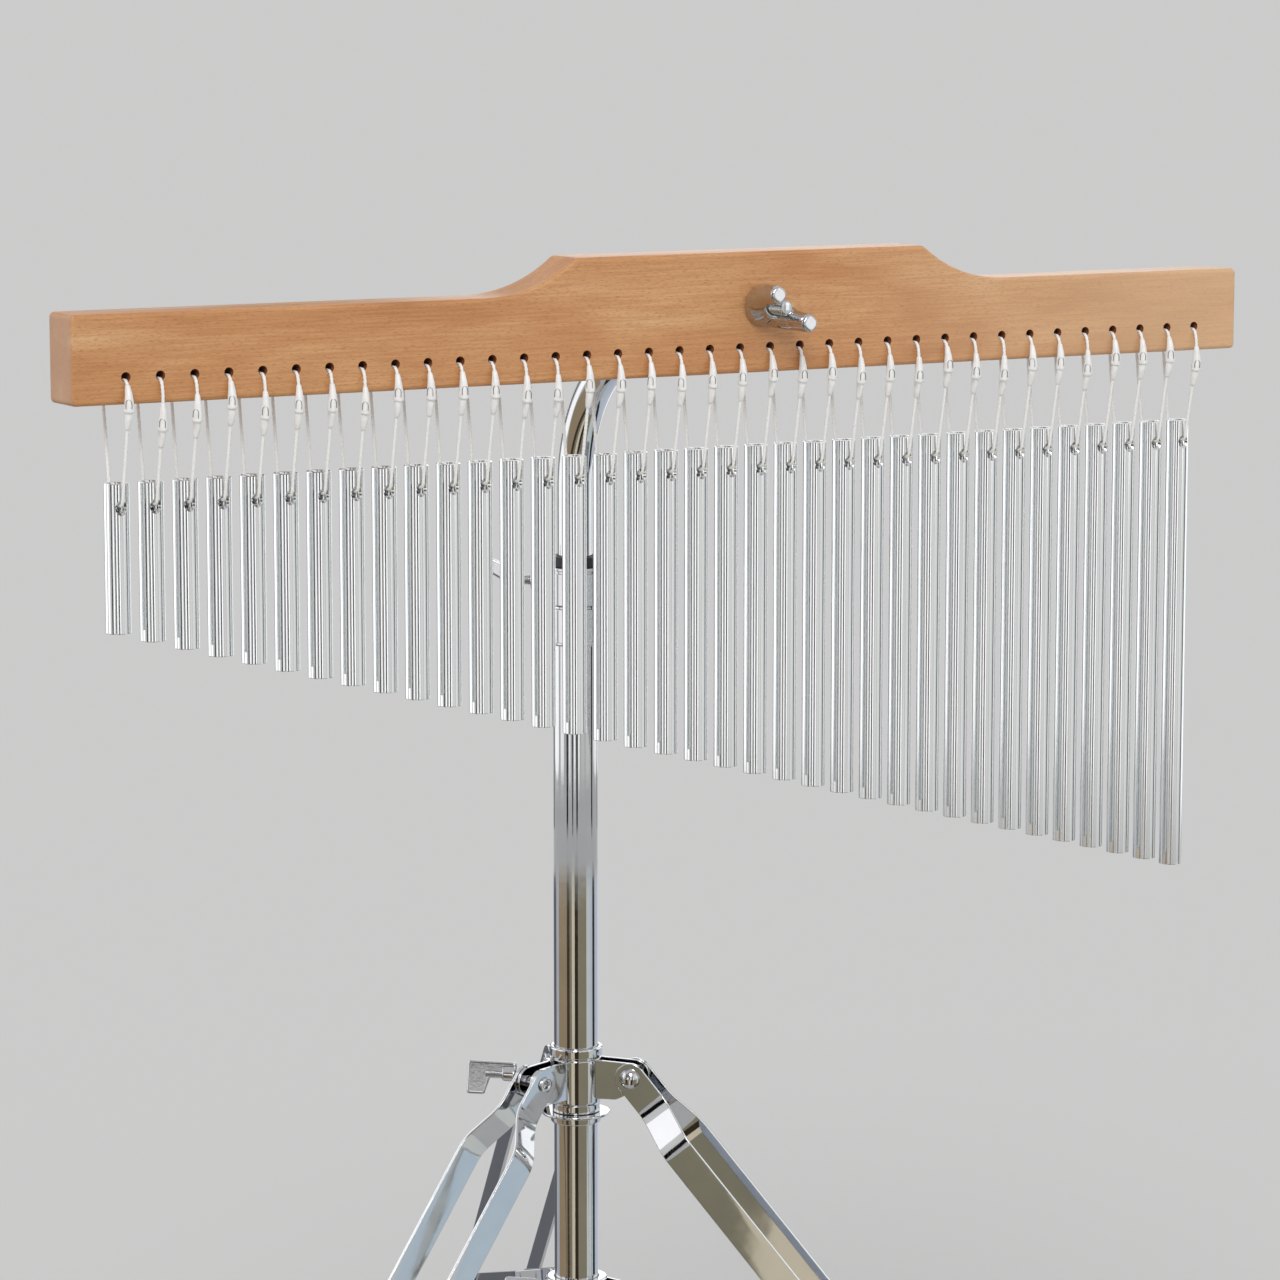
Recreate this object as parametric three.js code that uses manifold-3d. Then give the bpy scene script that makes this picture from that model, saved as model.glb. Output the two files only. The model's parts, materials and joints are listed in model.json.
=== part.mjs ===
// Percussion wind chime: thirty-six aluminium chimes on a beech bar, carried by a folding tripod stand.
// Millimetres, +Z up. X runs along the bar, the player stands on the -Y side.
import * as THREE from 'three';
import { mergeVertices } from 'three/addons/utils/BufferGeometryUtils.js';
import Module from 'manifold-3d';

const wasm = await Module();
wasm.setup();

// Shared
const clearance = 0.3;
const roundSides = 24;
const smallSides = 12;
const arcSegments = 4;
const headTaper = 0.8;
const headShoulder = 0.6;

// Chimes
const chimeCount = 36;
const chimePitch = 18.5;
const chimeDiameter = 12.7;
const chimeWall = 1.4;
const shortestChime = 75;
const longestChime = 254;
const chimeSides = 12;
const chimeHoleDiameter = 3.6;
const chimeHoleDown = 12;

// Cord loops
const cordDiameter = 1.7;
const cordSides = 6;
const cordBite = 0.15;
const hangGap = 40;

// Bar
const barThickness = 28;
const barHeight = 45;
const humpHeight = 64;
const barOverhang = 28.75;
const humpStart = 253;
const humpEnd = 467;
const rampLength = 52;
const barBevel = 1.5;
const cordHoleDiameter = 5;
const cordHoleUp = 13.5;
const cordHoleSides = 8;

// Stud, flange and washer behind the bar
const studAlong = 365;
const studUp = 35.5;
const studDiameter = 8;
const studProtrusion = 25;
const flangeDiameter = 30;
const flangeThickness = 4;
const washerDiameter = 26;
const washerThickness = 2;

// Wing nut in front of the bar
const nutBaseDiameter = 24;
const nutBaseHeight = 7;
const nutNeckDiameter = 13;
const nutNeckHeight = 13;
const nutRimHeight = 2.5;
const nutWingReach = 33;
const nutWingSpread = 16.2;
const nutWingTip = 7.5;
const nutWingThickness = 5;
const nutTurn = -39;

// Gooseneck
const gooseneckDiameter = 20;
const gooseneckWall = 1.5;
const gooseneckBendRadius = 85;
const gooseneckBend = 72;
const gooseneckBendSteps = 9;
const gooseneckArcSegments = 8;
const gooseneckInPole = 190;
const poleBehindBar = 190;

// Bushing, clamp and sleeve at the top of the pole
const clampBelowHoles = 133.5;
const bushingHeight = 6;
const bushingSkirt = 40;
const bushingDiameter = 27.8;
const bushingBevel = 0.4;
const clampDiameter = 28.4;
const clampHeight = 22;
const clampLip = 2;
const clampGroove = 1.4;
const grooveDepth = 0.8;
const clampBossDiameter = 13;
const clampBossReach = 25;
const clampBoltDown = 15;
const sleeveGap = 1.4;
const sleeveHeight = 21;
const sleeveRim = 2;
const sleeveRimProud = 0.8;

// Pole
const poleDiameter = 25.4;
const poleWall = 1.2;
const poleBelowPivots = 165;

// Hub
const pivotRadius = 34;
const pivotsBelowHoles = 436;
const hubDiameter = 29;
const hubAbovePivots = 9.5;
const hubBelowPivots = 16;
const hubLipDiameter = 30.8;
const hubLipHeight = 5.5;
const hubLipGap = 1.6;
const hubNeckDiameter = 27.6;
const hubNeckHeight = 6;
const lugWidth = 12;
const lugSheet = 2;
const lugRadius = 8.5;
const lugDrop = 13.4;
const hubBossDiameter = 12;
const hubBossReach = 22;
const hubBoltDown = 3.2;
const ringDiameter = 39.5;
const ringSheet = 1.6;
const ringCollarHeight = 4.6;

// Legs and feet
const legs = { right: -43.5, back: 76.5, left: 196.5 };
const legLean = 40;
const legLength = 500;
const strapWidth = 18;
const strapThickness = 2;
const strapGap = 40;
const legJogStart = 23;
const legJogEnd = 46;
const rivetDiameter = 6;
const rivetHeadDiameter = 12;
const rivetHeadHeight = 4;
const smallHeadDiameter = 9;
const smallHeadHeight = 1.6;
const footDiameter = 32;
const footFlat = 1.5;

// Braces and the collar that they hinge on
const bracePivotRadius = 30;
const collarBelowPivots = 132;
const braceDownLeg = 230;
const braceWidth = 14;
const braceJogStart = 18;
const braceJogEnd = 36;
const braceRivetDiameter = 5;
const collarDiameter = 36;
const collarHeight = 22;
const collarLugRadius = 7;
const collarBossReach = 22;

// Wing bolts
const boltDiameter = 6;
const boltAngle = 136.5;
const leverThickness = 3.5;
const leverRise = 7;
const leverDrop = 12.5;
const leverFoot = 10.5;
const leverSlope = 4;
const clampWingAt = 38;
const clampWingLean = 22;
const clampWingLength = 25;
const clampWingWidth = 6;
const clampWingTip = 4.8;
const hubLever = [36, 65];
const collarLever = [24, 44];
const hubLeverTurn = 12;
const collarLeverTurn = 35;

// Finishes
const beech = { color: 0xc4946a, roughness: 0.55, metalness: 0 };
const aluminium = { color: 0xd4d6d8, roughness: 0.22, metalness: 1 };
const chrome = { color: 0xc9c9c9, roughness: 0.08, metalness: 1 };
const nylon = { color: 0x1c1c1e, roughness: 0.5, metalness: 0 };
const rubber = { color: 0x202020, roughness: 0.85, metalness: 0 };

// Heights above the floor, worked out upwards from the feet
const footRadius = footDiameter / 2;
const footHeight = footRadius - footFlat;
const pivotHeight = legLength * Math.cos(radians(legLean)) + footHeight;
const cordHoleHeight = pivotHeight + pivotsBelowHoles;
const barBottom = cordHoleHeight - cordHoleUp;
const studHeight = barBottom + studUp;
const clampTop = cordHoleHeight - clampBelowHoles;
const clampBottom = clampTop - bushingHeight - clearance - clampHeight;
const poleTop = clampBottom - clearance;
const collarMiddle = pivotHeight - collarBelowPivots;

// Radii that fit inside one another, from the gooseneck outwards
const gooseneckRadius = gooseneckDiameter / 2;
const poleRadius = poleDiameter / 2;
const poleBore = poleRadius - poleWall;
const skirtRadius = poleBore - clearance;
const clampBore = skirtRadius + clearance;
const poleFit = poleRadius + clearance;

const windChime = new THREE.Group();

function radians(degrees) {
  return degrees * Math.PI / 180;
}

// Planes in which a flat outline is drawn: seen from the front, or from the side
const frontPlane = new THREE.Matrix4().makeBasis(
  new THREE.Vector3(1, 0, 0),
  new THREE.Vector3(0, 0, 1),
  new THREE.Vector3(0, -1, 0),
);
const sidePlane = new THREE.Matrix4().makeBasis(
  new THREE.Vector3(0, 1, 0),
  new THREE.Vector3(0, 0, 1),
  new THREE.Vector3(1, 0, 0),
);

// A closed three.js geometry as a solid that can be joined and cut
function solid(geometry) {
  const bare = geometry.clone();
  bare.deleteAttribute('normal');
  bare.deleteAttribute('uv');
  const merged = mergeVertices(bare, 1e-4);
  const points = merged.attributes.position;
  const corner = [new THREE.Vector3(), new THREE.Vector3(), new THREE.Vector3()];
  const triangles = [];
  let volume = 0;
  for (let i = 0; i < merged.index.count; i += 3) {
    const face = [0, 1, 2].map((k) => merged.index.getX(i + k));
    if (new Set(face).size === 3) {
      face.forEach((vertex, k) => corner[k].fromBufferAttribute(points, vertex));
      volume += corner[0].dot(corner[1].clone().cross(corner[2]));
      triangles.push(face);
    }
  }
  if (volume < 0) {
    triangles.forEach((face) => face.reverse());
  }
  return new wasm.Manifold(new wasm.Mesh({
    numProp: 3,
    vertProperties: new Float32Array(points.array),
    triVerts: new Uint32Array(triangles.flat()),
  }));
}

// The joined or cut solid back as a three.js geometry
function geometryOf(body) {
  const mesh = body.getMesh();
  const geometry = new THREE.BufferGeometry();
  geometry.setAttribute('position', new THREE.BufferAttribute(mesh.vertProperties, 3));
  geometry.setIndex(new THREE.BufferAttribute(mesh.triVerts, 1));
  return geometry;
}

function joined(...bodies) {
  return bodies.reduce((whole, body) => whole.add(body));
}

// A named sub-part in its own finish
function place(name, body, finish, parent = windChime) {
  const mesh = new THREE.Mesh(geometryOf(body), new THREE.MeshStandardMaterial(finish));
  mesh.name = name;
  parent.add(mesh);
  return mesh;
}

// A frame for the pieces that stand off the pole's axis in one direction
function outward(angle, height) {
  const frame = new THREE.Group();
  frame.rotation.z = radians(angle);
  frame.position.z = height;
  windChime.add(frame);
  return frame;
}

// A turned body about Z, from a closed profile of [radius, height] points
function turned(profile, sides) {
  const points = [...profile, profile[0]].map(([r, z]) => new THREE.Vector2(r, z));
  return solid(new THREE.LatheGeometry(points, sides).rotateX(Math.PI / 2));
}

function rod(radius, low, high, sides = smallSides) {
  return turned([[0, low], [radius, low], [radius, high], [0, high]], sides);
}

function pipe(outer, inner, low, high, sides = roundSides) {
  return turned([[inner, low], [outer, low], [outer, high], [inner, high]], sides);
}

function alongX(body) {
  return body.rotate([0, 90, 0]);
}

function alongY(body) {
  return body.rotate([90, 0, 0]);
}

// A flat outline with a thickness, centred on the plane that it is drawn in
function plate(outline, thickness, plane) {
  const settings = { depth: thickness, bevelEnabled: false, curveSegments: arcSegments };
  const geometry = new THREE.ExtrudeGeometry(outline, settings);
  geometry.translate(0, 0, -thickness / 2);
  return solid(geometry.applyMatrix4(plane));
}

function outlineOf(points) {
  return new THREE.Shape(points.map(([a, b]) => new THREE.Vector2(a, b)));
}

// A low domed rivet head about Z, standing on a face
function rivetHead(diameter, height, face) {
  const radius = diameter / 2;
  const shoulder = [radius * headTaper, face + height * headShoulder];
  return turned([[0, face], [radius, face], shoulder, [0, face + height]], smallSides);
}

// Chime bar
function chimeBar() {
  const left = -barOverhang;
  const right = (chimeCount - 1) * chimePitch + barOverhang;
  const rise = humpHeight - barHeight;
  const rampRadius = (rampLength ** 2 + rise ** 2) / (2 * rise);
  const sweep = Math.asin(rampLength / rampRadius);
  const down = -Math.PI / 2;
  const outline = new THREE.Shape();
  outline.moveTo(left, 0);
  outline.lineTo(right, 0);
  outline.lineTo(right, barHeight);
  outline.absarc(humpEnd + rampLength, barHeight + rampRadius, rampRadius, down, down - sweep, true);
  outline.absarc(humpStart - rampLength, barHeight + rampRadius, rampRadius, down + sweep, down, true);
  outline.lineTo(left, barHeight);
  const block = new THREE.ExtrudeGeometry(outline, {
    depth: barThickness - 2 * barBevel,
    bevelThickness: barBevel,
    bevelSize: barBevel,
    bevelOffset: -barBevel,
    bevelSegments: 1,
    curveSegments: arcSegments,
  });
  block.translate(0, 0, barBevel - barThickness / 2);
  let bar = solid(block.applyMatrix4(frontPlane));
  const cordDrill = alongY(rod(cordHoleDiameter / 2, -barThickness, barThickness, cordHoleSides));
  for (let i = 0; i < chimeCount; i += 1) {
    bar = bar.subtract(cordDrill.translate([i * chimePitch, 0, cordHoleUp]));
  }
  const studDrill = alongY(rod(studDiameter / 2 + clearance, -barThickness, barThickness));
  return bar.subtract(studDrill.translate([studAlong, 0, studUp]));
}

// A run of cord between two points of its loop, given as [y, z]
function cordRun([fromY, fromZ], [toY, toZ]) {
  const length = Math.hypot(toY - fromY, toZ - fromZ);
  const lean = Math.atan2(toY - fromY, fromZ - toZ) * 180 / Math.PI;
  const run = rod(cordDiameter / 2, -length, 0, cordSides);
  return run.rotate([lean, 0, 0]).translate([0, fromY, fromZ]);
}

// A hollow chime with its cord below the bar, about the middle of the bar's cord hole.
// The cord goes through the chime's cross hole and carries it by the hole's upper edge. Its two ends
// start just off the bar's bevelled lower edges, so that they clear the bar when the chime swings.
function chime(length) {
  const radius = chimeDiameter / 2;
  const top = -cordHoleUp - hangGap;
  const holeHeight = top - chimeHoleDown;
  const holeRadius = chimeHoleDiameter / 2;
  const tube = pipe(radius, radius - chimeWall, top - length, top, chimeSides);
  const crossDrill = alongY(rod(holeRadius, -chimeDiameter, chimeDiameter, cordSides));
  const cordRadius = cordDiameter / 2;
  const bearing = holeHeight + holeRadius * Math.cos(Math.PI / cordSides) - cordRadius + cordBite;
  const atBar = (barThickness - barBevel) / 2 + clearance + cordRadius;
  const belowBar = barBevel / 2 - cordHoleUp - clearance;
  const atTube = radius + cordRadius / 2;
  return joined(
    tube.subtract(crossDrill.translate([0, 0, holeHeight])),
    cordRun([-atBar, belowBar], [-atTube, bearing]),
    cordRun([-atTube, bearing], [atTube, bearing]),
    cordRun([atBar, belowBar], [atTube, bearing]),
  );
}

const barFrame = new THREE.Group();
barFrame.position.set(-studAlong, -poleBehindBar, barBottom);
windChime.add(barFrame);
place('chime_bar', chimeBar(), beech, barFrame);
for (let i = 0; i < chimeCount; i += 1) {
  const length = shortestChime + (longestChime - shortestChime) * i / (chimeCount - 1);
  const name = `chime_${String(i + 1).padStart(2, '0')}`;
  place(name, chime(length), aluminium, barFrame).position.set(i * chimePitch, 0, cordHoleUp);
}

// Stud, washer and wing nut, in a frame whose Z points through the bar towards the player
const studFrame = new THREE.Group();
studFrame.position.set(0, -poleBehindBar, studHeight);
studFrame.rotation.x = Math.PI / 2;
windChime.add(studFrame);
const barFront = barThickness / 2;
const washerFront = -barFront - clearance;
const flangeFront = washerFront - washerThickness - clearance;
const flangeBack = flangeFront - flangeThickness;
const studBore = studDiameter / 2 + clearance;

function mountStud() {
  const flange = rod(flangeDiameter / 2, flangeBack, flangeFront, roundSides);
  const stud = rod(studDiameter / 2, flangeBack + flangeThickness / 2, barFront + studProtrusion);
  return joined(flange, stud);
}

// A round base that narrows to a neck, with two wings that splay forward from it
function wingNut() {
  const low = barFront + clearance;
  const baseTop = low + nutBaseHeight;
  const neckTop = low + nutNeckHeight;
  const wingTop = low + nutWingReach;
  const baseRadius = nutBaseDiameter / 2;
  const neckRadius = nutNeckDiameter / 2;
  const base = turned([
    [studBore, low],
    [baseRadius, low],
    [baseRadius, low + nutRimHeight],
    [neckRadius, neckTop],
    [studBore, neckTop],
  ], roundSides);
  const wing = plate(outlineOf([
    [studBore + clearance, low + clearance],
    [baseRadius - clearance, low + clearance],
    [nutWingSpread, baseTop],
    [nutWingSpread, wingTop],
    [nutWingSpread - nutWingTip, wingTop],
    [neckRadius, neckTop],
    [studBore + clearance, baseTop],
  ]), nutWingThickness, frontPlane);
  return joined(base, wing, wing.rotate([0, 0, 180])).rotate([0, 0, nutTurn]);
}

place('mount_stud', mountStud(), chrome, studFrame);
const washerRadius = washerDiameter / 2;
place('stud_washer', pipe(washerRadius, studBore, washerFront - washerThickness, washerFront), rubber, studFrame);
place('bar_wing_nut', wingNut(), chrome, studFrame);

// The gooseneck's centre line: straight up out of the pole, a bend forward, a straight run to the flange
class GooseneckLine extends THREE.Curve {
  constructor() {
    super();
    this.bend = radians(gooseneckBend);
    this.endY = -poleBehindBar - flangeBack + clearance;
    this.bendY = -gooseneckBendRadius * (1 - Math.cos(this.bend));
    const run = (this.bendY - this.endY) / Math.sin(this.bend);
    this.bendTop = studHeight - run * Math.cos(this.bend);
    this.bendStart = this.bendTop - gooseneckBendRadius * Math.sin(this.bend);
    this.overrun = run + gooseneckDiameter;
  }

  getUtoTmapping(u) {
    return u;
  }

  getPoint(t, target = new THREE.Vector3()) {
    const step = t * (gooseneckBendSteps + 2);
    if (step <= 1) {
      const low = clampTop - gooseneckInPole;
      return target.set(0, 0, low + (this.bendStart - low) * step);
    }
    const turn = this.bend * Math.min((step - 1) / gooseneckBendSteps, 1);
    const beyond = this.overrun * Math.max(step - 1 - gooseneckBendSteps, 0);
    const y = -gooseneckBendRadius * (1 - Math.cos(turn)) - beyond * Math.sin(turn);
    const z = this.bendStart + gooseneckBendRadius * Math.sin(turn) + beyond * Math.cos(turn);
    return target.set(0, y, z);
  }
}

function gooseneck() {
  const line = new GooseneckLine();
  const section = new THREE.Shape();
  section.absarc(0, 0, gooseneckRadius, 0, 2 * Math.PI);
  const bore = new THREE.Path();
  bore.absarc(0, 0, gooseneckRadius - gooseneckWall, 0, 2 * Math.PI);
  section.holes.push(bore);
  const tube = new THREE.ExtrudeGeometry(section, {
    steps: gooseneckBendSteps + 2,
    curveSegments: gooseneckArcSegments,
    extrudePath: line,
  });
  const beyond = 4 * gooseneckDiameter;
  const cut = new THREE.BoxGeometry(beyond, beyond, beyond);
  cut.translate(0, line.endY - beyond / 2, studHeight);
  return solid(tube).subtract(solid(cut));
}

place('gooseneck_tube', gooseneck(), chrome);

// Bushing, clamp and sleeve
function tubeBushing() {
  const bore = gooseneckRadius + clearance;
  const flangeLow = clampTop - bushingHeight;
  const flangeRadius = bushingDiameter / 2;
  return turned([
    [bore, clampTop - bushingSkirt],
    [skirtRadius, clampTop - bushingSkirt],
    [skirtRadius, flangeLow],
    [flangeRadius, flangeLow],
    [flangeRadius, clampTop - bushingBevel],
    [flangeRadius - bushingBevel, clampTop],
    [bore, clampTop],
  ], roundSides);
}

// A boss for a wing bolt, standing off a round body in the direction of the wing bolts
function boss(diameter, inner, outer, height) {
  return alongX(rod(diameter / 2, inner, outer)).rotate([0, 0, boltAngle]).translate([0, 0, height]);
}

function boltDrill(inner, outer, height) {
  return boss(boltDiameter + 2 * clearance, inner, outer, height);
}

function heightClamp() {
  const radius = clampDiameter / 2;
  const top = clampBottom + clampHeight;
  const groove = top - clampLip;
  const body = turned([
    [clampBore, clampBottom],
    [radius, clampBottom],
    [radius, groove - clampGroove],
    [radius - grooveDepth, groove - clampGroove],
    [radius - grooveDepth, groove],
    [radius, groove],
    [radius, top],
    [clampBore, top],
  ], roundSides);
  const boltHeight = clampTop - clampBoltDown;
  const middle = (clampBore + radius) / 2;
  return body
    .add(boss(clampBossDiameter, middle, clampBossReach, boltHeight))
    .subtract(boltDrill(poleRadius / 2, clampBossReach + clearance, boltHeight));
}

function poleSleeve() {
  const radius = clampDiameter / 2;
  const top = poleTop - sleeveGap;
  const low = top - sleeveHeight;
  return turned([
    [poleFit, low],
    [radius + sleeveRimProud, low],
    [radius + sleeveRimProud, low + sleeveRim],
    [radius, low + sleeveRim],
    [radius, top],
    [poleFit, top],
  ], roundSides);
}

place('tube_bushing', tubeBushing(), nylon);
place('height_clamp', heightClamp(), chrome);
place('pole_sleeve', poleSleeve(), chrome);
place('pole', pipe(poleRadius, poleBore, pivotHeight - poleBelowPivots, poleTop), chrome);

// Two sheet lugs with a rivet hole, standing off a round body towards each leg
function lugs(root, reach, radius, drop, rise, holeRadius) {
  const outline = new THREE.Shape();
  outline.moveTo(root, rise);
  outline.lineTo(reach, radius);
  outline.absarc(reach, 0, radius, Math.PI / 2, -Math.PI / 4, true);
  outline.lineTo(reach - radius, -drop);
  outline.lineTo(root, -drop);
  const hole = new THREE.Path();
  hole.absarc(reach, 0, holeRadius, 0, 2 * Math.PI);
  outline.holes.push(hole);
  const lug = plate(outline, lugSheet, frontPlane);
  const aside = (lugWidth - lugSheet) / 2;
  const pair = lug.translate([0, aside, 0]).add(lug.translate([0, -aside, 0]));
  return joined(...Object.values(legs).map((angle) => pair.rotate([0, 0, angle])));
}

// Hub: barrel with a lip above and a neck below, a pair of lugs for each leg and a boss for its bolt
function legHub() {
  const radius = hubDiameter / 2;
  const lipLow = hubAbovePivots + hubLipGap;
  const barrel = turned([
    [poleFit, -hubBelowPivots - hubNeckHeight],
    [hubNeckDiameter / 2, -hubBelowPivots - hubNeckHeight],
    [hubNeckDiameter / 2, -hubBelowPivots],
    [radius, -hubBelowPivots],
    [radius, hubAbovePivots],
    [radius - grooveDepth, hubAbovePivots],
    [radius - grooveDepth, lipLow],
    [hubLipDiameter / 2, lipLow],
    [hubLipDiameter / 2, lipLow + hubLipHeight],
    [poleFit, lipLow + hubLipHeight],
  ], roundSides);
  const root = (poleFit + radius) / 2;
  const rivetHole = rivetDiameter / 2 + clearance;
  return barrel
    .add(lugs(root, pivotRadius, lugRadius, lugDrop, hubAbovePivots, rivetHole))
    .add(boss(hubBossDiameter, root, hubBossReach, -hubBoltDown))
    .subtract(boltDrill(poleRadius / 2, hubBossReach + clearance, -hubBoltDown));
}

// Flat ring with a short collar, which keeps the hub from sliding down the pole
function hubRing() {
  const top = -hubBelowPivots - hubNeckHeight - clearance;
  const low = top - ringSheet;
  return turned([
    [poleFit, low - ringCollarHeight],
    [hubNeckDiameter / 2, low - ringCollarHeight],
    [hubNeckDiameter / 2, low],
    [ringDiameter / 2, low],
    [ringDiameter / 2, top],
    [poleFit, top],
  ], roundSides);
}

place('leg_hub', legHub(), chrome).position.z = pivotHeight;
place('hub_ring', hubRing(), chrome).position.z = pivotHeight;

// One flat strap hanging from its pivot, cranked sideways between the jog's start and end
function strap(length, width, narrow, wide, jogStart, jogEnd) {
  const crank = Math.atan2(wide - narrow, jogEnd - jogStart);
  const shift = strapThickness * Math.tan(crank / 2);
  const top = width / 2;
  const low = -length - width / 2;
  const profile = plate(outlineOf([
    [narrow, top],
    [narrow, -jogStart],
    [wide, -jogEnd],
    [wide, low],
    [wide + strapThickness, low],
    [wide + strapThickness, shift - jogEnd],
    [narrow + strapThickness, shift - jogStart],
    [narrow + strapThickness, top],
  ]), width, sidePlane);
  const face = new THREE.Shape();
  face.absarc(0, 0, width / 2, 0, Math.PI);
  face.absarc(0, -length, width / 2, Math.PI, 2 * Math.PI);
  return profile.intersect(plate(face, 4 * (wide + strapThickness), frontPlane));
}

// A rivet through a pair of straps along Y, with a head on each outer face
function rivet(diameter, face, height, nearHead, farHead) {
  const shank = rod(diameter / 2, -face, face);
  const near = rivetHead(nearHead[0], nearHead[1], face);
  const far = rivetHead(farHead[0], farHead[1], face).rotate([180, 0, 0]);
  return alongY(joined(shank, near, far)).translate([0, 0, height]);
}

const bigHead = [rivetHeadDiameter, rivetHeadHeight];
const smallHead = [smallHeadDiameter, smallHeadHeight];
const narrowFace = lugWidth / 2 + clearance;
const wideFace = strapGap / 2;

function leg() {
  const oneStrap = strap(legLength, strapWidth, narrowFace, wideFace, legJogStart, legJogEnd);
  const outerNarrow = narrowFace + strapThickness;
  const outerWide = wideFace + strapThickness;
  const braceStub = alongY(rivetHead(smallHeadDiameter, smallHeadHeight, outerWide))
    .translate([0, 0, -braceDownLeg]);
  return joined(
    oneStrap,
    oneStrap.rotate([0, 0, 180]),
    rivet(rivetDiameter, outerNarrow, 0, bigHead, smallHead),
    rivet(rivetDiameter, outerWide, -legLength, smallHead, smallHead),
    braceStub,
    braceStub.rotate([0, 0, 180]),
  );
}

// Rubber roller between the straps, flat where it stands
function foot() {
  const length = strapGap - 2 * clearance;
  const radius = footRadius;
  const roller = alongY(pipe(radius, rivetDiameter / 2 + clearance, -length / 2, length / 2));
  const under = new THREE.BoxGeometry(footDiameter * 2, footDiameter * 2, footDiameter);
  under.translate(0, 0, -footHeight - footDiameter / 2);
  return roller.subtract(solid(under));
}

// Where a brace meets its leg, from the collar's pivot: out from the pole and down
const legLeanAngle = radians(legLean);
const braceOut = pivotRadius + braceDownLeg * Math.sin(legLeanAngle) - bracePivotRadius;
const braceDown = braceDownLeg * Math.cos(legLeanAngle) - collarBelowPivots;
const braceLength = Math.hypot(braceOut, braceDown);
const braceLean = Math.atan2(braceOut, braceDown);

function brace() {
  const wide = wideFace - clearance - strapThickness;
  const oneStrap = strap(braceLength, braceWidth, narrowFace, wide, braceJogStart, braceJogEnd);
  const spacer = alongY(rod(braceRivetDiameter / 2, -wide - strapThickness / 2, wide + strapThickness / 2));
  return joined(
    oneStrap,
    oneStrap.rotate([0, 0, 180]),
    rivet(braceRivetDiameter, narrowFace + strapThickness, 0, smallHead, smallHead),
    spacer.translate([0, 0, -braceLength]),
  );
}

for (const [side, angle] of Object.entries(legs)) {
  const pivots = outward(angle, pivotHeight);
  const legMesh = place(`${side}_leg`, leg(), chrome, pivots);
  legMesh.position.x = pivotRadius;
  legMesh.rotation.y = -legLeanAngle;
  const footMesh = place(`${side}_foot`, foot(), rubber, outward(angle, footHeight));
  footMesh.position.x = pivotRadius + legLength * Math.sin(legLeanAngle);
  const braceMesh = place(`${side}_brace`, brace(), chrome, outward(angle, collarMiddle));
  braceMesh.position.x = bracePivotRadius;
  braceMesh.rotation.y = -braceLean;
}

// Collar on the pole with a pair of lugs for each brace and a boss for its bolt
function braceCollar() {
  const radius = collarDiameter / 2;
  const half = collarHeight / 2;
  const root = (poleFit + radius) / 2;
  const rivetHole = braceRivetDiameter / 2 + clearance;
  return pipe(radius, poleFit, -half, half)
    .add(lugs(root, bracePivotRadius, collarLugRadius, collarLugRadius, half, rivetHole))
    .add(boss(hubBossDiameter, root, collarBossReach, 0))
    .subtract(boltDrill(poleRadius / 2, collarBossReach + clearance, 0));
}

place('brace_collar', braceCollar(), chrome).position.z = collarMiddle;

// Bolts with a cast lever, each along X from its tip to the lever's middle
function leverBolt(tip, end, lever, turn) {
  const shaft = alongX(rod(boltDiameter / 2, tip, end));
  return shaft.add(plate(lever, leverThickness, frontPlane)).rotate([turn, 0, 0]);
}

// A slim wing that leans away from the bolt
function leaningWing(at) {
  const lean = radians(clampWingLean);
  const reach = at + clampWingLength * Math.cos(lean);
  const rise = clampWingLength * Math.sin(lean);
  return outlineOf([
    [at - clampWingWidth / 2, 0],
    [at + clampWingWidth, 0],
    [reach, rise],
    [reach, rise + clampWingTip],
    [reach - clampWingWidth / 2, rise + clampWingWidth],
    [at - clampWingWidth / 2, clampWingWidth],
  ]);
}

// An arm along the bolt with a broad foot across its end
function flagLever([at, end]) {
  return outlineOf([
    [at, 0],
    [end - leverFoot - leverSlope, 0],
    [end - leverFoot, -leverDrop],
    [end, -leverDrop],
    [end, leverRise],
    [at, leverRise],
  ]);
}

function placeBolt(name, bolt, height) {
  place(name, bolt, chrome, outward(boltAngle, height));
}

const clampBolt = leverBolt(clampBore, clampWingAt + clampWingWidth, leaningWing(clampWingAt), 0);
const hubBolt = leverBolt(poleFit, hubLever[1] - leverFoot, flagLever(hubLever), hubLeverTurn);
const collarBolt = leverBolt(poleFit, collarLever[1] - leverFoot, flagLever(collarLever), collarLeverTurn);
placeBolt('clamp_wing_bolt', clampBolt, clampTop - clampBoltDown);
placeBolt('hub_wing_bolt', hubBolt, pivotHeight - hubBoltDown);
placeBolt('collar_wing_bolt', collarBolt, collarMiddle);

// The origin is on the floor, under the middle of the whole object
windChime.updateMatrixWorld(true);
const extent = new THREE.Box3().setFromObject(windChime, true);
const middle = extent.getCenter(new THREE.Vector3());
windChime.position.set(-middle.x, -middle.y, -extent.min.z);
windChime.updateMatrixWorld(true);

export default windChime;
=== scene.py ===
import json
import math
import random

import bmesh
import bpy
from mathutils import Matrix, Vector


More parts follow.
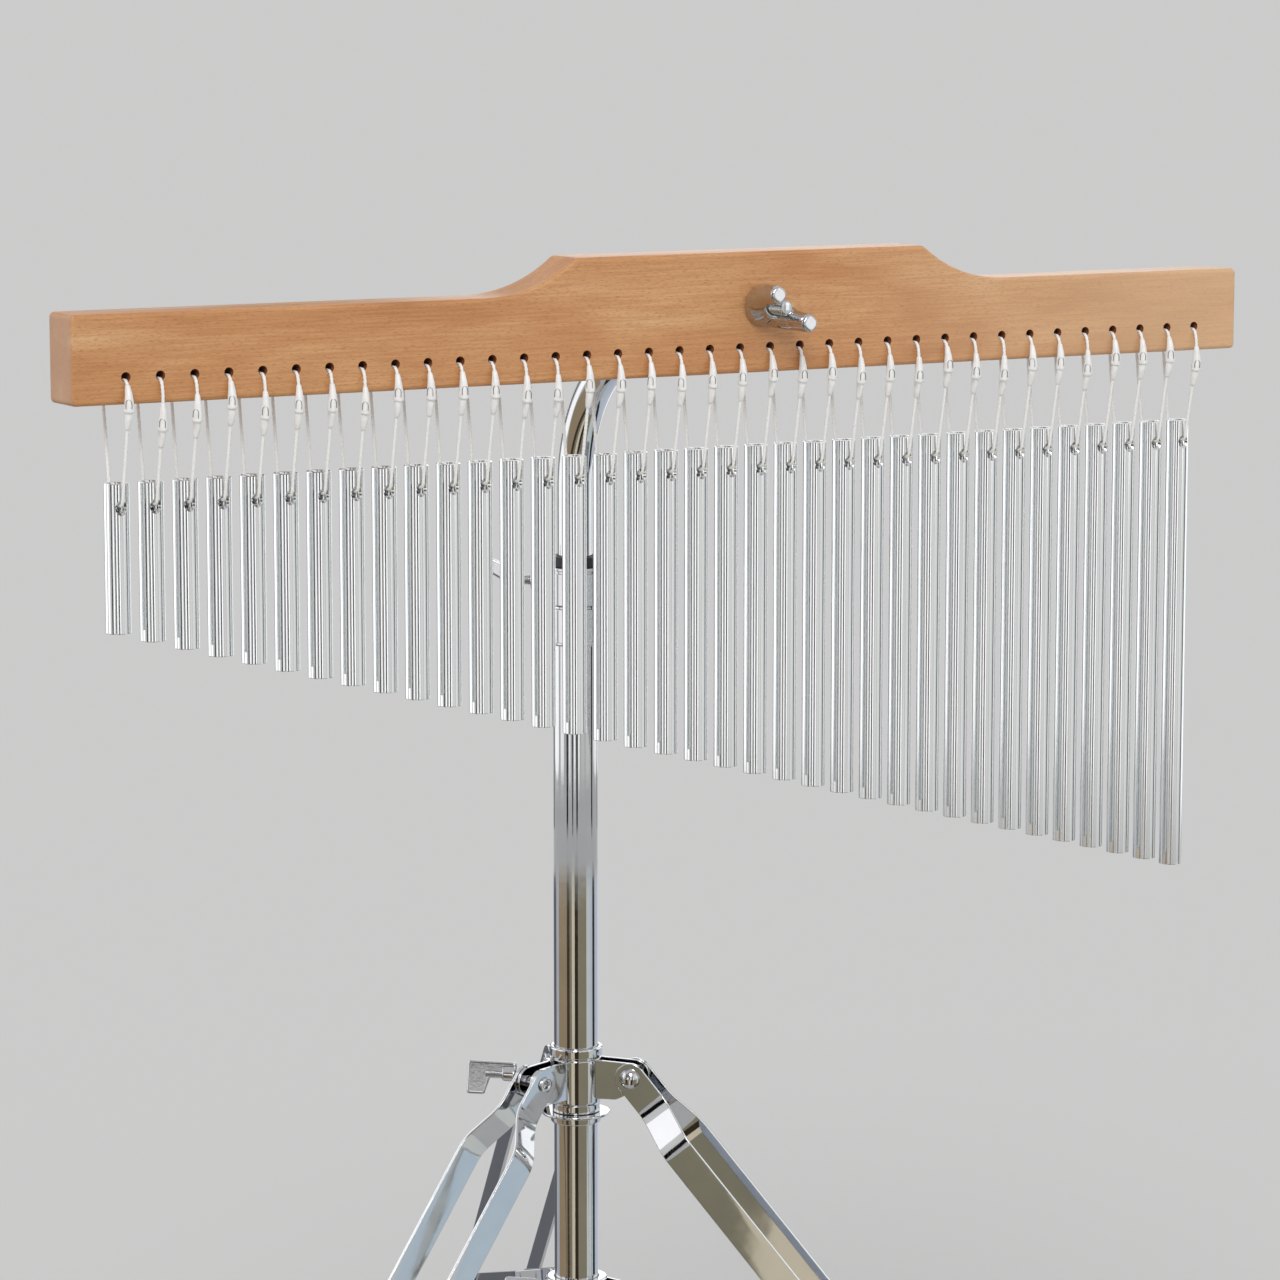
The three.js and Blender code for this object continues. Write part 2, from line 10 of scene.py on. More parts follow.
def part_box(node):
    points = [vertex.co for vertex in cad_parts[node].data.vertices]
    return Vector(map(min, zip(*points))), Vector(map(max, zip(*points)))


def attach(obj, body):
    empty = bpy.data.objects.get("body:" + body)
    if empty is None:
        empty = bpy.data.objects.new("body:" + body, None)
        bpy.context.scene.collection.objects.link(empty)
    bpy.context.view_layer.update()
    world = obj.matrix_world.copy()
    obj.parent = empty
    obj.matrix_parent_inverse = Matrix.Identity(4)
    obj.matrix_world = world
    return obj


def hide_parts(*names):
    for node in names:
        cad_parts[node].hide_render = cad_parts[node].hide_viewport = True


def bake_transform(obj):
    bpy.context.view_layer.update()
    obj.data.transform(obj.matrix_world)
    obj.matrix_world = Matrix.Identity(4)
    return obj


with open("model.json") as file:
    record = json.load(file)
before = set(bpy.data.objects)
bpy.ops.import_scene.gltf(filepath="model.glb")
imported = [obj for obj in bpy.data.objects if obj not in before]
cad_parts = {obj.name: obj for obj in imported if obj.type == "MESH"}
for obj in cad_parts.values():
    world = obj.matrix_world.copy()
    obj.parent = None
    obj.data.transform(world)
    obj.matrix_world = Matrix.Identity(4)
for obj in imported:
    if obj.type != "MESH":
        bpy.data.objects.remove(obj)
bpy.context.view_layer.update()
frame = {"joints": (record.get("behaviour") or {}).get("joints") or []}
scene = bpy.context.scene
scene.view_settings.view_transform = "Standard"
mm = 0.001


# The studio: a plain pale floor and walls, a soft sun from the front, and the camera at the photograph's
# angle, a little above the bar and off its left end. Tall softboxes, and cards that stand or lie round
# the object, are only seen in the metal, where they draw its bright, dark and tan lines.
def joint(name):
    return next(row for row in frame["joints"] if row["name"] == name)


def place_of(name):
    return Vector(joint(name)["pos_m"])


def linear(colour):
    parts = [int(colour[i:i + 2], 16) / 255 for i in (1, 3, 5)]
    return [c / 12.92 if c <= 0.04045 else ((c + 0.055) / 1.055) ** 2.4 for c in parts] + [1.0]


def add_node(tree, kind, settings, inputs, stops=()):
    node = tree.nodes.new("ShaderNode" + kind)
    for name, value in settings.items():
        setattr(node, name, value)
    for name, value in inputs.items():
        if isinstance(value, bpy.types.NodeSocket):
            tree.links.new(value, node.inputs[name])
        else:
            node.inputs[name].default_value = value
    if stops:
        ramp = node.color_ramp.elements
        while len(ramp) < len(stops):
            ramp.new(0.5)
        for element, (place, colour) in zip(ramp, stops):
            element.position = place
            element.color = linear(colour)
    return node


def start_material(name):
    material = bpy.data.materials.new(name)
    material.use_nodes = True
    material.node_tree.nodes.clear()
    return material, material.node_tree


def matt_paint(name, colour):
    material, tree = start_material(name)
    shade = add_node(tree, "BsdfDiffuse", {}, {"Color": linear(colour)})
    add_node(tree, "OutputMaterial", {}, {"Surface": shade.outputs["BSDF"]})
    return material


first_hole = place_of("chime_01_swing")
pole_axis = place_of("pole_turn")
camera_yaw = math.radians(-29.869)
camera_pitch = math.radians(8.302)
camera_from_first_hole = Vector((-913.95, -2111.44, 201.66)) * mm
focal_length_in_pixels = 4650
photo_width = 1280

camera = bpy.data.objects.new("camera", bpy.data.cameras.new("camera"))
scene.collection.objects.link(camera)
camera.data.sensor_width = 36
camera.data.lens = camera.data.sensor_width * focal_length_in_pixels / photo_width
camera.location = first_hole + camera_from_first_hole
camera_back = Vector((
    math.sin(camera_yaw) * math.cos(camera_pitch),
    -math.cos(camera_yaw) * math.cos(camera_pitch),
    math.sin(camera_pitch),
))
camera.rotation_euler = (-camera_back).to_track_quat("-Z", "Y").to_euler()
scene.camera = camera

floor_reach = 250
floor_corners = [(-floor_reach, -floor_reach, 0), (floor_reach, -floor_reach, 0),
                 (floor_reach, floor_reach, 0), (-floor_reach, floor_reach, 0)]
floor_mesh = bpy.data.meshes.new("floor")
floor_mesh.from_pydata(floor_corners, [], [(0, 1, 2, 3)])
floor = bpy.data.objects.new("floor", floor_mesh)
floor.data.materials.append(matt_paint("pale_floor_paint", "#C9C9C8"))
scene.collection.objects.link(floor)

sky = bpy.data.worlds.new("studio_walls")
scene.world = sky
sky.use_nodes = True
tree = sky.node_tree
tree.nodes.clear()
direction = add_node(tree, "TexCoord", {}, {})
height = add_node(tree, "SeparateXYZ", {}, {"Vector": direction.outputs["Generated"]})
walls = add_node(tree, "ValToRGB", {}, {"Fac": height.outputs["Z"]},
                 stops=[(0.0, "#CECECE"), (0.08, "#E9E9E8"), (0.3, "#F2F2F1"), (0.8, "#DADADC")])
glow = add_node(tree, "Background", {}, {"Color": walls.outputs["Color"], "Strength": 1.0})
add_node(tree, "OutputWorld", {}, {"Surface": glow.outputs["Background"]})

sun = bpy.data.objects.new("soft_sun", bpy.data.lights.new("soft_sun", "SUN"))
sun.data.energy = 1.4
sun.data.angle = math.radians(25)
sun.rotation_euler = (math.radians(53), 0, math.radians(-32))
scene.collection.objects.link(sun)


def on_ring(degrees, distance, middle):
    """A place round the pole, at an angle from the camera's side as seen from above, facing the pole."""
    angle = camera_yaw + math.radians(degrees)
    around = Vector((math.sin(angle), -math.cos(angle), 0))
    spot = Vector((pole_axis.x, pole_axis.y, middle)) + around * distance
    return spot, around.to_track_quat("Z", "Y").to_euler()


white = (1.0, 1.0, 1.0)
sky_blue = (0.90, 0.96, 1.0)
lilac = (0.97, 0.95, 1.0)
pale_green = (0.95, 1.0, 0.92)
cream = (1.0, 0.95, 0.88)
low_softbox_distance = 2.4
raised_softbox_distance = 2.2
raised_from = 0.5
# Each softbox: its place on the ring, width, bottom, top, radiance and tint.
softboxes = [
    (-112, 1.5, 0.15, 2.3, 1.0, white),
    (-72, 0.9, 0.15, 2.3, 0.8, lilac),
    (-28, 0.28, 0.15, 0.7, 0.9, white),
    (-3, 0.28, 0.15, 0.7, 1.0, white),
    (19, 0.3, 0.15, 0.7, 1.0, white),
    (40, 0.8, 0.15, 2.3, 0.2, cream),
    (68, 1.1, 0.15, 2.3, 0.24, pale_green),
    (60, 0.35, 0.54, 1.4, 0.7, lilac),
    (128, 1.8, 0.15, 2.3, 0.75, sky_blue),
    (176, 1.0, 0.15, 2.3, 1.0, sky_blue),
]
for degrees, width, low, high, radiance, colour in softboxes:
    lamp = bpy.data.lights.new("softbox", "AREA")
    lamp.shape = "RECTANGLE"
    lamp.size = width
    lamp.size_y = high - low
    lamp.color = colour
    lamp.energy = radiance * math.pi * lamp.size * lamp.size_y
    box = bpy.data.objects.new("softbox", lamp)
    distance = low_softbox_distance if low < raised_from else raised_softbox_distance
    box.location, box.rotation_euler = on_ring(degrees, distance, (low + high) / 2)
    box.visible_camera = False
    box.visible_diffuse = False
    scene.collection.objects.link(box)


def studio_card(colour, points, place=None):
    """A sheet that only the metal sees."""
    sheet = bpy.data.meshes.new("studio_card")
    sheet.from_pydata(points, [], [range(len(points))])
    sheet.materials.append(matt_paint("studio_card", colour))
    card = bpy.data.objects.new("studio_card", sheet)
    if place:
        card.location, card.rotation_euler = place
    card.visible_camera = False
    card.visible_diffuse = False
    card.visible_shadow = False
    scene.collection.objects.link(card)


# Each standing card: its place on the ring, width, bottom, top and colour.
standing_card_distance = 2.1
standing_cards = [
    (-146, 0.35, 0.15, 2.3, "#1C1A16"),
    (-172, 0.2, 0.15, 2.3, "#4A4438"),
    (-42, 0.32, 0.15, 2.3, "#14120F"),
    (-28, 0.5, 0.75, 1.8, "#7A7266"),
    (-14, 0.2, 0.15, 2.3, "#2E2A22"),
    (9, 0.28, 0.15, 2.3, "#14120F"),
    (95, 0.32, 0.15, 2.3, "#14120F"),
    (154, 0.3, 0.15, 2.3, "#1C1A16"),
]
for degrees, width, low, high, colour in standing_cards:
    half = width / 2
    rise = (high - low) / 2
    studio_card(colour, [(-half, -rise, 0), (half, -rise, 0), (half, rise, 0), (-half, rise, 0)],
                on_ring(degrees, standing_card_distance, (low + high) / 2))

# Each lying card: a sector of the floor from one place on the ring to another, and its colour.
lying_card_from = 0.3
lying_card_to = 2.6
lying_card_height = 2 * mm
lying_cards = [
    (-180, -123, "#6E7076"), (-123, -99, "#C6CAD2"), (-99, -47, "#AB977A"), (-47, -32, "#4D4135"),
    (-32, -20, "#938D78"), (-20, -5, "#EADFC4"), (-5, 12, "#3C342A"), (12, 58, "#98917B"),
    (58, 84, "#E3E7E3"), (84, 98, "#CFE0EC"), (98, 116, "#3E3B38"), (116, 180, "#D3DCE8"),
]
for first, last, colour in lying_cards:
    angles = [first + (last - first) * k / 8 for k in range(9)]
    near = [on_ring(angle, lying_card_from, lying_card_height)[0] for angle in angles]
    far = [on_ring(angle, lying_card_to, lying_card_height)[0] for angle in angles]
    studio_card(colour, near + far[::-1])


# Cord loops: one for each chime, of thin white twisted polyester cord. The loop goes through the bar's
# hole from front to back and through the chime's cross hole, and carries the chime.
# The twist is laid into the mesh, a little coarser than the real one so that it shows.
chimes = [f"chime_{number:02d}" for number in range(1, 37)]
cord_radius = 0.82 * mm
cord_twist = 4.4 * mm
cord_ply = 0.14
cord_sides = 10
cord_step = 0.7 * mm
sharp_angle = math.radians(50)
# The loop's way from the middle of the hole, as (back, up) in mm: down in front, then up behind.
cord_front = [(0, -1.5), (-12.4, -1.5), (-14.6, -2.1), (-15.9, -4.6), (-16.6, -8.0), (-16.7, -13.0),
              (-15.9, -21.0), (-7.9, -61.0), (-7.3, -63.2), (-5.8, -64.6), (0, -64.7)]
cord_back = [(5.8, -64.6), (7.3, -63.2), (7.9, -61.0), (14.3, -16.0), (14.9, -12.4), (14.9, -4.2),
             (14.2, -2.0), (12.4, -1.5)]


def soften(points, closed, times=3):
    for _ in range(times):
        pairs = list(zip(points, points[1:] + points[:1])) if closed else list(zip(points, points[1:]))
        cut = [p for a, b in pairs for p in (a.lerp(b, 0.25), a.lerp(b, 0.75))]
        points = cut if closed else [points[0]] + cut[1:-1] + [points[-1]]
    return points


def stations(points, step):
    """Points at an even step along a line, each with its direction and its distance from the start."""
    found = []
    travelled = 0.0
    carried = 0.0
    for a, b in zip(points, points[1:]):
        length = (b - a).length
        if length > 1e-9:
            along = (b - a) / length
            while carried < length:
                found.append((a + along * carried, along, travelled + carried))
                carried += step
            carried -= length
            travelled += length
    return found


def skin(bm, rings, closed=False, capped=True):
    """Faces from each ring of points to the next, and over the two ends."""
    for ring, following in zip(rings, rings[1:] + rings[:1] if closed else rings[1:]):
        for i in range(len(ring)):
            j = (i + 1) % len(ring)
            bm.faces.new((ring[i], ring[j], following[j], following[i]))
    if capped and not closed:
        bm.faces.new(rings[0])
        bm.faces.new(rings[-1])


def shaped(name, bm, place=None):
    bmesh.ops.remove_doubles(bm, verts=bm.verts, dist=1e-5)
    if place:
        bmesh.ops.transform(bm, matrix=place, verts=bm.verts)
    bmesh.ops.recalc_face_normals(bm, faces=bm.faces)
    mesh = bpy.data.meshes.new(name)
    bm.to_mesh(mesh)
    bm.free()
    mesh.shade_smooth()
    mesh.set_sharp_from_angle(angle=sharp_angle)
    piece = bpy.data.objects.new(name, mesh)
    scene.collection.objects.link(piece)
    return piece


def swept(name, line, section, closed=False):
    """A skin over rings round a line that lies across the bar. A ring is a list of (sideways, outward)."""
    bm = bmesh.new()
    rings = []
    for point, along, distance in line:
        outward = Vector((0, -along.z, along.y))
        ring = [point + Vector((u, 0, 0)) + outward * v for u, v in section(distance)]
        rings.append([bm.verts.new(corner) for corner in ring])
    skin(bm, rings, closed)
    return shaped(name, bm)


def dress(piece, material, slot, body, *nodes):
    piece.data.materials.append(material)
    if body:
        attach(piece, body)
    if nodes:
        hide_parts(*nodes)
    return piece


def cord_section(distance):
    ring = []
    for k in range(cord_sides):
        angle = 2 * math.pi * k / cord_sides
        radius = cord_radius * (1 + cord_ply * math.cos(2 * angle - 4 * math.pi * distance / cord_twist))
        ring.append((radius * math.cos(angle), radius * math.sin(angle)))
    return ring


# White polyester cord, twisted from two plies: matt and soft, a little grey where the plies meet.
cord_fibre, tree = start_material("white_polyester_cord")
place = add_node(tree, "TexCoord", {}, {}).outputs["Object"]
fibre = 0.5 * mm
fuzz = add_node(tree, "TexNoise", {}, {"Vector": place, "Scale": 1 / fibre, "Detail": 2.0}).outputs["Fac"]
tone = add_node(tree, "ValToRGB", {}, {"Fac": fuzz}, stops=[(0.3, "#DAD9D6"), (0.6, "#EFEEEC")])
rough = add_node(tree, "Bump", {}, {"Height": fuzz, "Strength": 0.5, "Distance": 0.1 * mm})
shade = add_node(tree, "BsdfPrincipled", {}, {
    "Base Color": tone.outputs["Color"], "Roughness": 0.8, "Sheen Weight": 0.2,
    "Normal": rough.outputs["Normal"]})
add_node(tree, "OutputMaterial", {}, {"Surface": shade.outputs["BSDF"]})

# These are the heights under the hole at which the loop leaves the bar, its back strand lower than its
# front one. A point halfway between them is worked out, but nothing uses it.
front_leaves_bar = 2 * mm
back_leaves_bar = 13 * mm
for chime in chimes:
    hole = place_of(chime + "_swing")
    loop = soften([hole + Vector((0, y, z)) * mm for y, z in cord_front + cord_back], closed=True)
    cord = swept(chime + "_cord", stations(loop + loop[:1], cord_step), cord_section, closed=True)
    dress(cord, cord_fibre, "cord", None)
    start = hole - Vector((0, 0, (front_leaves_bar + back_leaves_bar) / 2))
    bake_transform(cord)


# Cord locks: a white nylon bullet on the front strand of each loop, which snaps together in two halves
# and holds the knot. Each half tapers, and the gap round the snap's tongue is a thin raised arch painted
# dark grey, a painted shade for the gap.
lock_upper_half = 13.5
upper_squareness = 2.7
lower_squareness = 2.0
lead_share = 0.8
lead_from = mm
# The lock's radius at each distance down from its upper end, in mm.
lock_profile = [
    (0, 0.8), (0.3, 1.1), (1.0, 1.25), (5.0, 1.75), (9.0, 2.2), (12.6, 2.5), (13.3, 2.5),
    (13.7, 2.35), (13.8, 1.95), (14.2, 2.0), (18.0, 1.85), (21.6, 1.4), (22.3, 1.25), (22.7, 0.9)]
# How far the step between the halves hangs under the hole, in mm, for each chime from the left.
lock_drops = [17.2, 27.1, 23.3, 17.7, 23.7, 21.4, 21.7, 24.0, 18.2, 18.5, 18.7, 19.1,
              22.3, 22.5, 18.6, 19.3, 18.7, 20.4, 19.7, 19.2, 17.9, 19.3, 18.6, 21.7,
              21.1, 22.7, 17.9, 22.3, 24.3, 19.4, 19.6, 23.9, 18.8, 19.1, 18.8, 24.6]
way_in_hole = 12.5
lock_step = 0.2 * mm
lock_seed = random.Random(11)

# Moulded white nylon: slightly warm and translucent, with a soft gloss.
white_nylon, tree = start_material("moulded_white_nylon")
place = add_node(tree, "TexCoord", {}, {}).outputs["Object"]
flow = 3 * mm
cloud = add_node(tree, "TexNoise", {}, {"Vector": place, "Scale": 1 / flow, "Detail": 2.0}).outputs["Fac"]
tone = add_node(tree, "ValToRGB", {}, {"Fac": cloud}, stops=[(0.3, "#E1E0DD"), (0.7, "#ECEBE9")])
shade = add_node(tree, "BsdfPrincipled", {}, {
    "Base Color": tone.outputs["Color"], "Roughness": 0.38, "IOR": 1.53, "Subsurface Weight": 0.1,
    "Subsurface Radius": (mm, mm, mm)})
add_node(tree, "OutputMaterial", {}, {"Surface": shade.outputs["BSDF"]})

# Painted shade for the gap round the snap's tongue, which is too narrow to model: a dark grey line.
snap_gap_painted_shade, tree = start_material("snap_gap_shadow")
shade = add_node(tree, "BsdfPrincipled", {}, {"Base Color": linear("#4B494E"), "Roughness": 0.8})
add_node(tree, "OutputMaterial", {}, {"Surface": shade.outputs["BSDF"]})


def lock_radius(distance):
    at = distance / mm
    for (d0, r0), (d1, r1) in zip(lock_profile, lock_profile[1:]):
        if at <= d1:
            return (r0 + (r1 - r0) * (at - d0) / (d1 - d0)) * mm
    return lock_profile[-1][1] * mm


def lock_lead(distance):
    """How far the lock's middle lies in front of its cord, so that it stays clear of the bar."""
    return lead_share * max(0, lock_radius(distance) - lead_from)


def rounded_box(half_width, half_depth, squareness, turn=0.0, count=20):
    """The ring of a section between an ellipse and a rectangle, turned by an angle."""
    ring = []
    for k in range(count):
        c = math.cos(2 * math.pi * k / count)
        s = math.sin(2 * math.pi * k / count)
        reach_out = 1 / (abs(c) ** squareness + abs(s) ** squareness) ** (1 / squareness)
        u = half_width * reach_out * c
        v = half_depth * reach_out * s
        ring.append((u * math.cos(turn) - v * math.sin(turn), u * math.sin(turn) + v * math.cos(turn)))
    return ring


arch_half_width = 1.5
arch_rise = 1.8
arch_spring = 9.2
arch_foot = 11.4
arch_line_half_width = 0.18 * mm
arch_line_height = 0.14 * mm
arch_sunk = 0.02 * mm
arch_line_corners = (0.5, 2.1, 3.7, 5.3)


def arch(name, line, turn):
    """The snap's arch: a thin raised line on the lock's face, 3 mm wide and 4 mm high."""
    bm = bmesh.new()
    bend = [math.pi * k / 8 for k in range(1, 8)]
    route = [(-arch_half_width, arch_foot), (-arch_half_width, arch_spring)]
    route += [(-arch_half_width * math.cos(a), arch_spring - arch_rise * math.sin(a)) for a in bend]
    route += [(arch_half_width, arch_spring), (arch_half_width, arch_foot)]
    right = Vector((1, 0, 0))
    rings = []
    for u, distance in route:
        point, along, _ = line[min(int(distance * mm / lock_step), len(line) - 1)]
        front = Vector((0, along.z, -along.y))
        outward = front * math.cos(turn) - right * math.sin(turn)
        sideways = right * math.cos(turn) + front * math.sin(turn)
        middle = point + front * lock_lead(distance * mm) + sideways * u * mm
        middle += outward * (lock_radius(distance * mm) - arch_sunk)
        ring = []
        for angle in arch_line_corners:
            aside = sideways * arch_line_half_width * math.cos(angle)
            ring.append(bm.verts.new(middle + aside + outward * arch_line_height * math.sin(angle)))
        rings.append(ring)
    skin(bm, rings, capped=False)
    return shaped(name, bm)


for chime, drop in zip(chimes, lock_drops):
    hole = place_of(chime + "_swing")
    strand = soften([hole + Vector((0, y, z)) * mm for y, z in cord_front], closed=False)
    start = (drop + way_in_hole - lock_upper_half) * mm
    turn = math.radians(lock_seed.uniform(5, 55))
    line = [(point, along, distance - start) for point, along, distance in stations(strand, lock_step)
            if start <= distance <= start + lock_profile[-1][0] * mm]
    rows = [min(line, key=lambda row: abs(row[2] - mark * mm)) for mark, _ in lock_profile]

    def lock_section(distance):
        radius = lock_radius(distance)
        squareness = upper_squareness if distance < lock_upper_half * mm else lower_squareness
        ring = rounded_box(radius, radius, squareness, turn)
        return [(u, v - lock_lead(distance)) for u, v in ring]

    lock = swept(chime + "_lock", rows, lock_section)
    dress(lock, white_nylon, "cord_lock", chime)
    # The arch is painted dark grey, a painted shade for the gap round the snap's tongue.
    dress(arch(chime + "_lock_arch", line, turn), snap_gap_painted_shade, "cord_lock", chime)


# Bar: one plank of light beech, planed, with a hump on its top edge, eased edges and a satin lacquer.
# The cord holes are drilled through it from front to back, and their walls are painted dark brown as
# painted shade for the depth of the holes.
bar_low, bar_high = (Vector(corner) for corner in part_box("chime_bar"))
bar_length, bar_thickness, hump_height = (bar_high - bar_low) / mm
bar_height = 45
hump_from_left = 281.75
hump_length = 214
ramp_length = 52
bar_edge = 2
bar_corner = 3
hump_corner = 2
cord_hole = 5
stud_hole = 8.6
wall_margin = 0.1


def frame_at(point, facing, side=(1, 0, 0)):
    """A frame at a point, with millimetres inside it: Z runs along facing, and X near side."""
    z = Vector(facing).normalized()
    x = (Vector(side) - z * z.dot(Vector(side))).normalized()
    axes = Matrix((x, z.cross(x), z)).transposed().to_4x4()
    return Matrix.Translation(point) @ axes @ Matrix.Scale(mm, 4)


def eased(corners, steps=4):
    """An outline from corners given as (x, y, ease), each cut off at its ease by a curve."""
    outline = []
    for i, (x, y, ease) in enumerate(corners):
        here = Vector((x, y))
        before = Vector(corners[i - 1][:2]) - here
        after = Vector(corners[(i + 1) % len(corners)][:2]) - here
        if ease:
            first = here + before.normalized() * min(ease, before.length / 2)
            last = here + after.normalized() * min(ease, after.length / 2)
            ts = [k / steps for k in range(steps + 1)]
            outline += [first * (1 - t) ** 2 + here * 2 * t * (1 - t) + last * t * t for t in ts]
        else:
            outline.append(here)
    return outline


def circle(radius, x=0, y=0, sides=40):
    turns = [2 * math.pi * k / sides for k in range(sides)]
    return [Vector((x + radius * math.cos(a), y + radius * math.sin(a))) for a in turns]


def even_shading(piece):
    modifier = piece.modifiers.new("even_shading", "WEIGHTED_NORMAL")
    modifier.keep_sharp = True
    return piece


def plate(name, outlines, thickness, edge, place):
    """A flat piece cut to an outline, with holes cut to the further ones, and eased edges."""
    curve = bpy.data.curves.new(name, "CURVE")
    curve.dimensions = "2D"
    curve.fill_mode = "BOTH"
    curve.extrude = thickness / 2 - edge
    curve.bevel_depth = edge
    curve.bevel_resolution = 2
    curve.offset = -edge
    for outline in outlines:
        spline = curve.splines.new("POLY")
        spline.points.add(len(outline) - 1)
        for point, (x, y) in zip(spline.points, outline):
            point.co = (x, y, 0, 1)
        spline.use_cyclic_u = True
    drawn = bpy.data.objects.new(name, curve)
    bm = bmesh.new()
    bm.from_mesh(drawn.to_mesh())
    drawn.to_mesh_clear()
    bpy.data.objects.remove(drawn)
    return even_shading(shaped(name, bm, place))


def turned(name, corners, place, sides=96):
    """A turned piece round Z, from an outline of (radius, height, ease) corners."""
    outline = eased(corners, 3)
    bm = bmesh.new()
    rings = []
    for k in range(sides):
        angle = 2 * math.pi * k / sides
        rings.append([bm.verts.new((r * math.cos(angle), r * math.sin(angle), z)) for r, z in outline])
    skin(bm, rings, closed=True)
    return even_shading(shaped(name, bm, place))


def tube_outline(inner, outer, low, high, outer_ease=0, inner_ease=0):
    """The corners of a plain disc, ring or tube for turned."""
    return [(inner, low, inner_ease), (outer, low, outer_ease),
            (outer, high, outer_ease), (inner, high, inner_ease)]


def crisp(piece):
    """The piece with its corners marked again, after a cut or a join."""
    piece.data.set_sharp_from_angle(angle=sharp_angle)
    return even_shading(piece)


def settle(piece):
    """The piece's mesh with its modifiers worked in."""
    graph = bpy.context.evaluated_depsgraph_get()
    worked = bpy.data.meshes.new_from_object(piece.evaluated_get(graph))
    piece.modifiers.clear()
    piece.data = worked
    return piece


def combined(piece, others, operation="UNION"):
    piece.modifiers.clear()
    for other in others:
        other.modifiers.clear()
        cut = piece.modifiers.new("cut", "BOOLEAN")
        cut.operation = operation
        cut.solver = "EXACT"
        cut.object = other
    settle(piece)
    for other in others:
        bpy.data.objects.remove(other)
    return piece


def joined(pieces):
    first = pieces[0]
    bm = bmesh.new()
    for piece in pieces:
        bm.from_mesh(piece.data)
    bm.to_mesh(first.data)
    bm.free()
    for piece in pieces[1:]:
        bpy.data.objects.remove(piece)
    return first


def repeats(*sizes):
    """How often a pattern comes back in a metre along each axis, from its sizes in mm."""
    return [1 / (size * mm) for size in sizes]


# Planed beech under satin lacquer: a warm tan that drifts between pink and yellow, with a painted sheen
# that lightens it towards the right, and short dark flecks along the grain, 3 mm long and 0.5 mm across.
# The end grain is matt.
lacquered_beech, tree = start_material("lacquered_beech")
place = add_node(tree, "TexCoord", {}, {})
figure = add_node(tree, "Mapping", {}, {
    "Vector": place.outputs["Object"], "Rotation": (0, 0.12, 0), "Scale": repeats(140, 20, 26)})
drift = add_node(tree, "TexNoise", {}, {
    "Vector": figure.outputs["Vector"], "Scale": 1.0, "Detail": 3.0, "Distortion": 0.6})
tone = add_node(tree, "ValToRGB", {}, {"Fac": drift.outputs["Fac"]},
                stops=[(0.3, "#B77E4A"), (0.48, "#C38C59"), (0.62, "#CB9967"), (0.75, "#D4A97B")])
line_size = add_node(tree, "Mapping", {}, {
    "Vector": place.outputs["Object"], "Rotation": (0, 0.05, 0), "Scale": repeats(38, 1.1, 1.1)})
lines = add_node(tree, "TexNoise", {}, {
    "Vector": line_size.outputs["Vector"], "Scale": 1.0, "Detail": 2.0})
line_depth = add_node(tree, "ValToRGB", {}, {"Fac": lines.outputs["Fac"]},
                      stops=[(0.35, "#E9DDD2"), (0.65, "#FFFFFF")])
grain = add_node(tree, "Mix", {"data_type": "RGBA", "blend_type": "MULTIPLY"}, {
    "Factor": 0.8, 6: tone.outputs["Color"], 7: line_depth.outputs["Color"]})
fleck_size = add_node(tree, "Mapping", {}, {
    "Vector": place.outputs["Object"], "Rotation": (0, -0.06, 0), "Scale": repeats(3.0, 0.5, 0.45)})
flecks = add_node(tree, "TexNoise", {}, {
    "Vector": fleck_size.outputs["Vector"], "Scale": 1.0, "Detail": 1.5, "Roughness": 0.6})
fleck_mask = add_node(tree, "ValToRGB", {}, {"Fac": flecks.outputs["Fac"]},
                      stops=[(0.54, "#000000"), (0.68, "#FFFFFF")]).outputs["Color"]
fleck_amount = add_node(tree, "Math", {"operation": "MULTIPLY"}, {0: fleck_mask, 1: 0.55})
flecked = add_node(tree, "Mix", {"data_type": "RGBA"}, {
    "Factor": fleck_amount.outputs["Value"], 6: grain.outputs[2], 7: linear("#9C6240")})
# Painted sheen: towards the right end the colour is mixed with a pale tan, standing in for light falling
# on that end.
along_bar = add_node(tree, "SeparateXYZ", {}, {"Vector": place.outputs["Object"]})
painted_sheen_share = add_node(tree, "MapRange", {}, {
    "Value": along_bar.outputs["X"], "From Min": 80 * mm, "From Max": 300 * mm,
    "To Min": 0.0, "To Max": 0.42})
right_end_painted_sheen = add_node(tree, "Mix", {"data_type": "RGBA"}, {
    "Factor": painted_sheen_share.outputs["Result"], 6: flecked.outputs[2], 7: linear("#D9BC99")})
side = add_node(tree, "SeparateXYZ", {}, {"Vector": place.outputs["Normal"]})
facing_end = add_node(tree, "Math", {"operation": "ABSOLUTE"}, {0: side.outputs["X"]})
end_mask = add_node(tree, "ValToRGB", {}, {"Fac": facing_end.outputs["Value"]},
                    stops=[(0.5, "#000000"), (0.95, "#C0C0C0")]).outputs["Color"]
colour = add_node(tree, "Mix", {"data_type": "RGBA"}, {
    "Factor": end_mask, 6: right_end_painted_sheen.outputs[2], 7: linear("#AD8A70")})
dull = add_node(tree, "MapRange", {}, {"Value": end_mask, "To Min": 0.42, "To Max": 0.85})
pores = add_node(tree, "Bump", {"invert": True}, {
    "Height": fleck_mask, "Strength": 0.25, "Distance": 0.08 * mm})
shade = add_node(tree, "BsdfPrincipled", {}, {
    "Base Color": colour.outputs[2], "Roughness": dull.outputs["Result"], "Coat Weight": 0.1,
    "Coat Roughness": 0.3, "Normal": pores.outputs["Normal"]})
add_node(tree, "OutputMaterial", {}, {"Surface": shade.outputs["BSDF"]})
